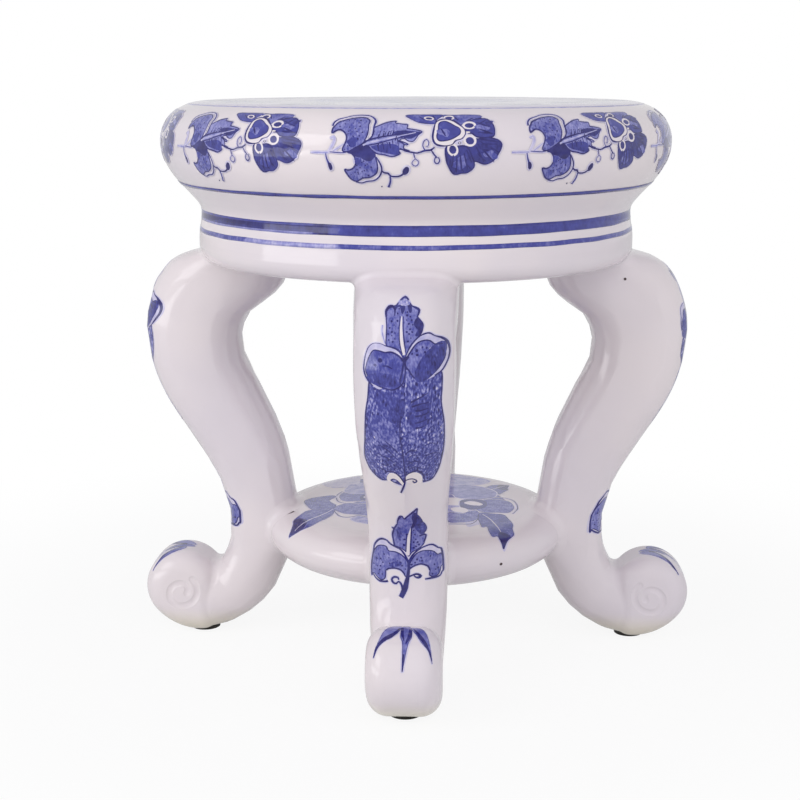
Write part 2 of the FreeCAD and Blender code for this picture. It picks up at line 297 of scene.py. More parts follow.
class Sheet:
    """A painting laid out flat in millimetres, each shape over the ones before it."""

    def __init__(self, grid, seed, step=0.7):
        self.grid = grid
        self.step = step
        self.chance = random.Random(seed)
        self.outlines = []
        self.fields = []

    def shape(self, outline, tone, grain):
        self.outlines.append(outline)
        self.fields.append((np.array(outline), tone, grain))

    def chain(self, points, widths, tone, closed=False):
        """Lays a stroke as a row of four-sided pieces that share their ends."""
        curve = smooth_curve(points, closed, self.step)
        if closed:
            curve.append(curve[0])
        left = []
        right = []
        last = len(curve) - 1
        for index, (place, share) in enumerate(curve):
            if closed:
                back = curve[(index - 1) % last][0]
                ahead = curve[(index + 1) % last][0]
            else:
                back = curve[max(index - 1, 0)][0]
                ahead = curve[min(index + 1, last)][0]
            reach = math.dist(back, ahead) or 1.0
            half = 0.5 * width_at(widths, share)
            side = (-(ahead[1] - back[1]) / reach * half, (ahead[0] - back[0]) / reach * half)
            left.append((place[0] + side[0], place[1] + side[1]))
            right.append((place[0] - side[0], place[1] - side[1]))
        if closed:
            self.outlines += [left[:-1], right[:-1]]
        else:
            self.outlines.append(left + right[::-1])
        for index in range(last):
            piece = [left[index], left[index + 1], right[index + 1], right[index]]
            self.fields.append((np.array(piece), tone, 0.0))

    def oval(self, place, length, width, turn, tone, grain, corners):
        angle = math.radians(turn)
        outline = []
        for index in range(corners):
            way = math.tau * index / corners
            along, across = length * math.cos(way), width * math.sin(way)
            outline.append((place[0] + along * math.cos(angle) - across * math.sin(angle),
                            place[1] + along * math.sin(angle) + across * math.cos(angle)))
        self.shape(outline, tone, grain)

    def bleed(self, motif, carry):
        """Lays the pale bleed of a motif's darker shapes."""
        for kind, tone, size, grain, points in motif:
            points = [carry(point) for point in points]
            if kind == "wash" and tone > FAINTEST_BLEED:
                self.chain(points, BLEED_WIDTHS, BLEED_TONE, True)
            elif kind == "stroke" and tone > FAINTEST_BLEED:
                self.chain(points, [width + BLEED_EXTRA for width in size], BLEED_TONE)

    def draw(self, motif, carry=lambda point: point, bleeds=True):
        """Lays a whole motif, with each of its points carried to its place on the sheet."""
        if bleeds:
            self.bleed(motif, carry)
        for kind, tone, size, grain, points in motif:
            points = [carry(point) for point in points]
            if kind == "wash":
                self.shape([place for place, share in smooth_curve(points, True, self.step)], tone, grain)
                if size > 0.0:
                    self.chain(points, (size, size * 0.7, size), EDGE_TONE, True)
            elif kind == "stroke":
                self.chain(points, size, tone)
            elif kind == "pool":
                self.oval(points[0], *size, tone, grain, POOL_CORNERS)
            else:
                for point in points:
                    radius = size * self.chance.uniform(0.75, 1.25)
                    turn = self.chance.uniform(0.0, 180.0)
                    self.oval(point, radius, radius * 0.85, turn, tone, 0.0, DOT_CORNERS)

    def triangles(self):
        """Cuts the laid shapes into small triangles, each with the look of the topmost shape."""
        points = []
        edges = []
        for outline in self.outlines:
            start = len(points)
            count = len(outline)
            points += [Vector(corner) for corner in outline]
            edges += [(start + index, start + (index + 1) % count) for index in range(count)]
        low = [min(point[axis] for point in points) for axis in (0, 1)]
        high = [max(point[axis] for point in points) for axis in (0, 1)]
        row = 0
        height = low[1]
        while height < high[1]:
            place = low[0] + (row % 2) * 0.5 * self.grid
            while place < high[0]:
                points.append(Vector((place, height)))
                place += self.grid
            height += self.grid * ROW_STEP
            row += 1
        cut = delaunay_2d_cdt(points, edges, [], 0, MERGE_DISTANCE)
        flat, faces = cut[0], cut[2]
        corners = np.array([tuple(point) for point in flat])
        middles = corners[np.array(faces)].mean(axis=1)
        looks = np.full((len(faces), 2), -1.0)
        order = np.argsort(middles[:, 0])
        across = middles[order, 0]
        for outline, tone, grain in self.fields:
            least, most = outline.min(axis=0), outline.max(axis=0)
            near = order[np.searchsorted(across, least[0]):np.searchsorted(across, most[0])]
            up = middles[near, 1]
            near = near[(up >= least[1]) & (up <= most[1])]
            if len(near):
                looks[near[winding(middles[near], outline) != 0]] = (tone, grain)
        kept = [face for face, look in zip(faces, looks) if look[0] >= 0.0]
        used = sorted({corner for face in kept for corner in face})
        order = {corner: index for index, corner in enumerate(used)}
        return ([tuple(flat[corner]) for corner in used],
                [[order[corner] for corner in face] for face in kept],
                [tuple(look) for look in looks.tolist() if look[0] >= 0.0])


def winding(places, outline):
    """How often a closed outline runs round each place: 0 is outside."""
    turns = np.zeros(len(places), dtype=int)
    across, up = places[:, 0], places[:, 1]
    for (x0, y0), (x1, y1) in zip(outline, np.roll(outline, -1, axis=0)):
        side = (x1 - x0) * (up - y0) - (across - x0) * (y1 - y0)
        turns += ((y0 <= up) & (y1 > up) & (side > 0.0)).astype(int)
        turns -= ((y0 > up) & (y1 <= up) & (side < 0.0)).astype(int)
    return turns


def width_at(widths, share):
    """The width at a share of the way along a stroke."""
    place = share * (len(widths) - 1)
    index = min(int(place), len(widths) - 2)
    return widths[index] + (widths[index + 1] - widths[index]) * (place - index)


def host_tree(*names):
    """The outer surface of CAD nodes, for laying paint on."""
    corners = []
    faces = []
    for name in names:
        node = nodes[name]
        start = len(corners)
        corners += [node.matrix_world @ vertex.co for vertex in node.data.vertices]
        faces += [[start + corner for corner in face.vertices] for face in node.data.polygons]
    return BVHTree.FromPolygons(corners, faces)


def settle(piece, tree, lift, aim=None):
    """Lays each point of a painted film on the porcelain, lifted by the paint's thickness."""
    for vertex in piece.data.vertices:
        place = None
        if aim is not None:
            start, way = aim(vertex.co)
            place, normal, face, reach = tree.ray_cast(start, way)
        if place is None:
            place, normal, face, reach = tree.find_nearest(vertex.co)
        vertex.co = place + normal * lift


def close_film(piece, host=None):
    """Gives a film its thickness, and the porcelain's own shading so that it lies in the glaze."""
    select_only(piece)
    bpy.ops.object.shade_smooth()
    inner = piece.vertex_groups.new(name="Inner")
    wall = piece.modifiers.new("Film thickness", "SOLIDIFY")
    wall.thickness = FILM_THICKNESS
    wall.offset = -1.0
    wall.shell_vertex_group = inner.name
    bpy.ops.object.modifier_apply(modifier=wall.name)
    if host is not None:
        match = piece.modifiers.new("Shading of the porcelain", "DATA_TRANSFER")
        match.object = host
        match.use_loop_data = True
        match.data_types_loops = {"CUSTOM_NORMAL"}
        match.loop_mapping = "POLYINTERP_NEAREST"
        match.vertex_group = inner.name
        match.invert_vertex_group = True
        bpy.ops.object.modifier_apply(modifier=match.name)


def from_above(place):
    """Aims straight down at a place, from 50 millimetres over it."""
    return place + Vector((0.0, 0.0, 0.05)), Vector((0.0, 0.0, -1.0))


def at_level(height):
    """Carries flat points to a height in millimetres over the floor."""
    return lambda across, back: Vector((across, back, height)) / 1000.0


def lay_on(piece, host, lift, aim=None):
    """Settles a film on one part of the stool, closes it and paints it."""
    settle(piece, host_tree(host), lift, aim)
    close_film(piece, nodes[host])
    paint_with(piece)


def film(name, sheet, place):
    """A new mesh of a painted sheet, each flat point carried to its place on the stool."""
    flat, faces, looks = sheet.triangles()
    mesh = bpy.data.meshes.new(name)
    mesh.from_pydata([place(*point) for point in flat], [], faces)
    paint = mesh.attributes.new("paint", "FLOAT_COLOR", "CORNER")
    values = [number for tone, grain in looks for number in (tone, grain, 0.0, 1.0) * 3]
    paint.data.foreach_set("color", values)
    mesh.update()
    piece = bpy.data.objects.new(name, mesh)
    bpy.context.scene.collection.objects.link(piece)
    return piece


def turned_copy(piece, name, angle):
    """A copy of a piece, turned round the stool's axis, with a mesh of its own."""
    select_only(piece)
    bpy.ops.object.duplicate()
    copy = bpy.context.object
    copy.name = name
    copy.rotation_euler = (0.0, 0.0, angle)
    bpy.ops.object.transform_apply(location=False, rotation=True, scale=False)
    return copy


def rim_profile():
    """The outside of the dish in millimetres from the flat seat down to the waist, as (reach, height)."""
    roll = ((103.5, SEAT_HEIGHT), (117.0, SEAT_HEIGHT), (RIM_RADIUS, 266.5), (RIM_RADIUS, 256.0))
    cove = ((RIM_RADIUS, 256.0), (RIM_RADIUS, 238.2), (106.4, 230.1), (106.4, 222.4))
    parts = 40
    outline = []
    for corners in (roll, cove):
        for part in range(parts):
            share = part / (parts - 1.0)
            rest = 1.0 - share
            weights = (rest ** 3, 3.0 * rest * rest * share, 3.0 * rest * share * share, share ** 3)
            outline.append(tuple(sum(weight * corner[axis] for weight, corner in zip(weights, corners))
                                 for axis in (0, 1)))
    return outline


def walk_down(outline, distance):
    """The (reach, height) a distance down the outline from its start."""
    for first, second in zip(outline, outline[1:]):
        length = math.dist(first, second)
        if distance <= length and length > 0.0:
            share = distance / length
            return tuple(a + (b - a) * share for a, b in zip(first, second))
        distance -= length
    return outline[-1]


def round_the_stool(reach, height, angle):
    """A point in metres from a reach and height in millimetres and an angle from the front."""
    return Vector((reach * math.sin(angle), -reach * math.cos(angle), height)) / 1000.0


def painted_band(name, rows, tree, lift, seed, shade):
    """A painted line round the stool. rows holds (reach, height) of its edges and what lies between, and
    shade gives its darkness by the angle from the front and the row."""
    chance = random.Random(seed)
    clear_selection()
    reach, height = rows[0]
    bpy.ops.mesh.primitive_circle_add(vertices=BAND_CORNERS, radius=reach / 1000.0,
                                      location=(0.0, 0.0, height / 1000.0))
    piece = bpy.context.object
    piece.name = name
    bpy.ops.object.transform_apply(location=True, rotation=False, scale=False)
    bpy.ops.object.mode_set(mode="EDIT")
    bpy.ops.mesh.select_all(action="SELECT")
    for (old_reach, old_height), (reach, height) in zip(rows, rows[1:]):
        bpy.ops.mesh.extrude_region_move(
            TRANSFORM_OT_translate={"value": (0.0, 0.0, (height - old_height) / 1000.0)})
        share = reach / old_reach
        bpy.ops.transform.resize(value=(share, share, 1.0), center_override=(0.0, 0.0, 0.0))
    bpy.ops.mesh.select_all(action="SELECT")
    bpy.ops.mesh.normals_make_consistent(inside=False)
    bpy.ops.object.mode_set(mode="OBJECT")
    waves = [(chance.uniform(2.0, 9.0) // 1.0, chance.uniform(0.0, 6.0)) for part in range(5)]
    way = Vector(rows[-1]) - Vector(rows[0])
    for index, vertex in enumerate(piece.data.vertices):
        row = index // BAND_CORNERS
        angle = math.atan2(vertex.co.x, -vertex.co.y)
        wave = sum(math.sin(angle * speed * (3 + row % 2) + start) for speed, start in waves) * BAND_WAVE
        shift = way.normalized() * (wave if row in (0, len(rows) - 1) else 0.0)
        flat = Vector((vertex.co.x, vertex.co.y, 0.0)).normalized() * shift.x / 1000.0
        vertex.co += flat + Vector((0.0, 0.0, shift.y / 1000.0))
    settle(piece, tree, lift)
    paint = piece.data.attributes.new("paint", "FLOAT_COLOR", "CORNER")
    for face in piece.data.polygons:
        for corner in face.loop_indices:
            place = piece.data.vertices[piece.data.loops[corner].vertex_index].co
            angle = math.degrees(math.atan2(place.x, -place.y))
            paint.data[corner].color = (shade(angle, face.index // BAND_CORNERS), BAND_GRAIN, 0.0, 1.0)
    close_film(piece)
    return piece


class NodeBench:
    """Lays out the nodes of one material or group in a row, and links them by name."""

    def __init__(self, tree):
        self.tree = tree
        self.count = 0

    def add(self, kind, label, **settings):
        node = self.tree.nodes.new(kind)
        node.label = label
        node.location = (self.count % 6 * 220.0, -(self.count // 6) * 320.0)
        self.count += 1
        for key, value in settings.items():
            setattr(node, key, value)
        return node

    def link(self, source, target):
        self.tree.links.new(source, target)

    def blend(self, label, factor, first, second):
        """Mixes two colours, each a socket or a plain colour. Sockets 6 and 7 of a mix are its colours."""
        node = self.add("ShaderNodeMix", label, data_type="RGBA")
        self.fill(node.inputs["Factor"], factor)
        self.fill(node.inputs[6], first)
        self.fill(node.inputs[7], second)
        return node.outputs[2]

    def noise(self, label, place, scale, detail=2.0):
        """The value of a noise at a place."""
        node = self.add("ShaderNodeTexNoise", label)
        self.link(place, node.inputs["Vector"])
        node.inputs["Scale"].default_value = scale
        node.inputs["Detail"].default_value = detail
        return node.outputs["Fac"]

    def bump(self, label, height, strength, distance, shader):
        """Gives a shader relief from a height."""
        node = self.add("ShaderNodeBump", label)
        node.inputs["Strength"].default_value = strength
        node.inputs["Distance"].default_value = distance
        self.link(height, node.inputs["Height"])
        self.link(node.outputs["Normal"], shader.inputs["Normal"])

    def math(self, label, operation, first, second=0.0, third=None, clamp=False):
        node = self.add("ShaderNodeMath", label, operation=operation, use_clamp=clamp)
        self.fill(node.inputs[0], first)
        self.fill(node.inputs[1], second)
        if third is not None:
            self.fill(node.inputs[2], third)
        return node.outputs[0]

    def span(self, label, value, low, high, to_low=0.0, to_high=1.0, smooth=True):
        """Carries a value from one range into another, held at its ends."""
        node = self.add("ShaderNodeMapRange", label)
        node.interpolation_type = "SMOOTHSTEP" if smooth else "LINEAR"
        self.fill(node.inputs["Value"], value)
        for name, number in (("From Min", low), ("From Max", high), ("To Min", to_low), ("To Max", to_high)):
            node.inputs[name].default_value = number
        return node.outputs["Result"]

    def fill(self, socket, value):
        if isinstance(value, bpy.types.NodeSocket):
            self.link(value, socket)
        elif socket.type == "RGBA" and len(value) == 3:
            socket.default_value = (*value, 1.0)
        else:
            socket.default_value = value


def group_tree(name, inputs, outputs):
    tree = bpy.data.node_groups.new(name, "ShaderNodeTree")
    for label, kind, value in inputs:
        socket = tree.interface.new_socket(label, in_out="INPUT", socket_type=kind)
        socket.default_value = value
    for label, kind in outputs:
        tree.interface.new_socket(label, in_out="OUTPUT", socket_type=kind)
    return tree


def glaze_group():
    """Group for every glazed surface: its soft unevenness, clouds, specks and pinholes."""
    tree = group_tree("Fired glaze", [("Position", "NodeSocketVector", (0.0, 0.0, 0.0)),
                                      ("Speck size", "NodeSocketFloat", 46.0)],
                      [("Height", "NodeSocketFloat"), ("Cloud", "NodeSocketFloat"),
                       ("Speck", "NodeSocketFloat"), ("Foot", "NodeSocketFloat"),
                       ("Smear", "NodeSocketFloat")])
    bench = NodeBench(tree)
    given = bench.add("NodeGroupInput", "Inputs")
    result = bench.add("NodeGroupOutput", "Outputs")
    place = given.outputs["Position"]
    wave = bench.noise("Slow waves of the casting", place, 34.0, 1.5)
    peel = bench.noise("Orange peel", place, 330.0, 1.0)
    fine = bench.math("Peel height", "MULTIPLY", peel, 0.035)
    height = bench.math("Both heights", "ADD", wave, fine)
    mist = bench.span("Cloud mask", bench.noise("Clouds in the glaze", place, 11.0, 3.0), 0.36, 0.66)
    cells = bench.add("ShaderNodeTexVoronoi", "Where specks sit")
    bench.link(place, cells.inputs["Vector"])
    bench.link(given.outputs["Speck size"], cells.inputs["Scale"])
    chosen = bench.add("ShaderNodeSeparateColor", "Pick of cells")
    bench.link(cells.outputs["Color"], chosen.inputs["Color"])
    rare = bench.math("Only a few", "GREATER_THAN", chosen.outputs["Red"], 0.86)
    reach = bench.math("Speck reach", "MULTIPLY_ADD", chosen.outputs["Green"], 0.018, 0.006)
    inside = bench.math("Inside a speck", "LESS_THAN", cells.outputs["Distance"], reach)
    speck = bench.math("Speck mask", "MULTIPLY", rare, inside)
    parts = bench.add("ShaderNodeSeparateXYZ", "Height over the floor")
    bench.link(place, parts.inputs["Vector"])
    foot = bench.span("Thin glaze at the foot", parts.outputs["Z"], 0.017, 0.0035)
    smear = bench.span("Smear mask", bench.noise("Wiped and handled", place, 55.0, 4.0), 0.5, 0.75)
    for name, socket in (("Height", height), ("Cloud", mist), ("Speck", speck), ("Foot", foot),
                         ("Smear", smear)):
        bench.link(socket, result.inputs[name])
    return tree


def new_material(name):
    material = bpy.data.materials.new(name)
    material.use_nodes = True
    material.node_tree.nodes.clear()
    bench = NodeBench(material.node_tree)
    output = bench.add("ShaderNodeOutputMaterial", "Surface")
    shader = bench.add("ShaderNodeBsdfPrincipled", "Shader")
    bench.link(shader.outputs["BSDF"], output.inputs["Surface"])
    return material, bench, shader


def glazed(bench, shader, settings):
    """Adds the shared glaze to a material, and returns its group node."""
    place = bench.add("ShaderNodeTexCoord", "Place on the stool")
    glaze = bench.add("ShaderNodeGroup", "Fired glaze")
    glaze.node_tree = bpy.data.node_groups["Fired glaze"]
    bench.link(place.outputs["Object"], glaze.inputs["Position"])
    bench.bump("Glaze unevenness", glaze.outputs["Height"], 1.0, settings.peel, shader)
    rough = bench.span("Roughness", glaze.outputs["Smear"], 0.0, 1.0, settings.gloss, settings.gloss + 0.06)
    bench.link(rough, shader.inputs["Roughness"])
    shader.inputs["IOR"].default_value = 1.5
    shader.inputs["Coat Weight"].default_value = 0.3
    shader.inputs["Coat Roughness"].default_value = 0.04
    return glaze


def glazed_porcelain(settings):
    material, bench, shader = new_material("Glazed porcelain")
    glaze = glazed(bench, shader, settings)
    white = bench.blend("Body with clouds", glaze.outputs["Cloud"], settings.body, settings.cloud)
    white = bench.blend("Warmer at the foot", glaze.outputs["Foot"], white, settings.foot_tint)
    white = bench.blend("Specks", glaze.outputs["Speck"], white, settings.speck)
    bench.link(white, shader.inputs["Base Color"])
    return material


def pad_rubber(settings):
    material, bench, shader = new_material("Pad rubber")
    place = bench.add("ShaderNodeTexCoord", "Place on the stool")
    grain = bench.noise("Moulded grain", place.outputs["Object"], 1600.0, 3.0)
    dust = bench.noise("Dust", place.outputs["Object"], 260.0, 5.0)
    dusty = bench.span("Dust mask", dust, 0.55, 0.8, 0.0, 0.35)
    bench.link(bench.blend("Rubber with dust", dusty, settings.rubber, srgb(104, 98, 88)),
               shader.inputs["Base Color"])
    bench.link(bench.span("Roughness", grain, 0.3, 0.7, 0.55, 0.75), shader.inputs["Roughness"])
    bench.bump("Grain relief", grain, 0.5, 0.0001, shader)
    return material


def pad_adhesive(settings):
    material, bench, shader = new_material("Pad adhesive")
    place = bench.add("ShaderNodeTexCoord", "Place on the stool")
    foam = bench.noise("Foam cells", place.outputs["Object"], 2200.0)
    bench.link(bench.blend("Foam", foam, settings.adhesive, srgb(176, 168, 148)),
               shader.inputs["Base Color"])
    shader.inputs["Roughness"].default_value = 0.6
    return material


def underglaze_cobalt(cobalt, glaze_settings):
    """Cobalt wash under the glaze: its darkness comes from the painting, its mottle from the brush."""
    material, bench, shader = new_material("Underglaze cobalt")
    glazed(bench, shader, glaze_settings)
    place = bench.add("ShaderNodeTexCoord", "Place in the painting")
    paint = bench.add("ShaderNodeAttribute", "Painted darkness", attribute_name="paint")
    parts = bench.add("ShaderNodeSeparateColor", "Darkness and mottle")
    bench.link(paint.outputs["Color"], parts.inputs["Color"])
    wet = bench.noise("Wet wash", place.outputs["Object"], 260.0, 4.0)
    hair = bench.add("ShaderNodeMapping", "Hairs run down the leg")
    bench.link(place.outputs["Object"], hair.inputs["Vector"])
    hair.inputs["Scale"].default_value = (1.0, 1.0, 0.45)
    fine = bench.noise("Brush hairs", hair.outputs["Vector"], 1150.0)
    cells = bench.add("ShaderNodeTexVoronoi", "Stippled dots")
    bench.link(hair.outputs["Vector"], cells.inputs["Vector"])
    cells.inputs["Scale"].default_value = 780.0
    dot = bench.span("Dot", cells.outputs["Distance"], 0.42, 0.2)
    few = bench.add("ShaderNodeSeparateColor", "Which dots")
    bench.link(cells.outputs["Color"], few.inputs["Color"])
    sign = bench.span("Dark or light", few.outputs["Red"], 0.42, 0.58, -0.75, 1.0)
    mottle = bench.math("Dots of both kinds", "MULTIPLY", dot, sign)
    mottle = bench.math("Dots held back", "MULTIPLY", mottle, 0.33)
    hairs = bench.math("Hairs", "MULTIPLY_ADD", fine, 1.5, -0.75)
    mottle = bench.math("Dots and hairs", "ADD", mottle, hairs)
    mottle = bench.math("Only where mottled", "MULTIPLY", mottle, parts.outputs["Green"])
    present = bench.span("Under any wash", parts.outputs["Red"], 0.02, 0.25)
    slow = bench.math("Slow change", "MULTIPLY_ADD", wet, 0.5, -0.25)
    change = bench.math("All change", "ADD", slow, mottle)
    change = bench.math("Change of the wash", "MULTIPLY", change, present)
    darkness = bench.math("Darkness", "ADD", parts.outputs["Red"], change, clamp=True)
    ramp = bench.add("ShaderNodeValToRGB", "Thin to pooled cobalt")
    bench.link(darkness, ramp.inputs["Fac"])
    stops = ((0.0, glaze_settings.body), (0.13, cobalt.faint), (0.34, cobalt.pale), (0.61, cobalt.middle),
             (1.0, cobalt.dark))
    while len(ramp.color_ramp.elements) < len(stops):
        ramp.color_ramp.elements.new(0.5)
    for element, (position, colour) in zip(ramp.color_ramp.elements, stops):
        element.position = position
        element.color = (*colour, 1.0)
    bench.link(ramp.outputs["Color"], shader.inputs["Base Color"])
    return material


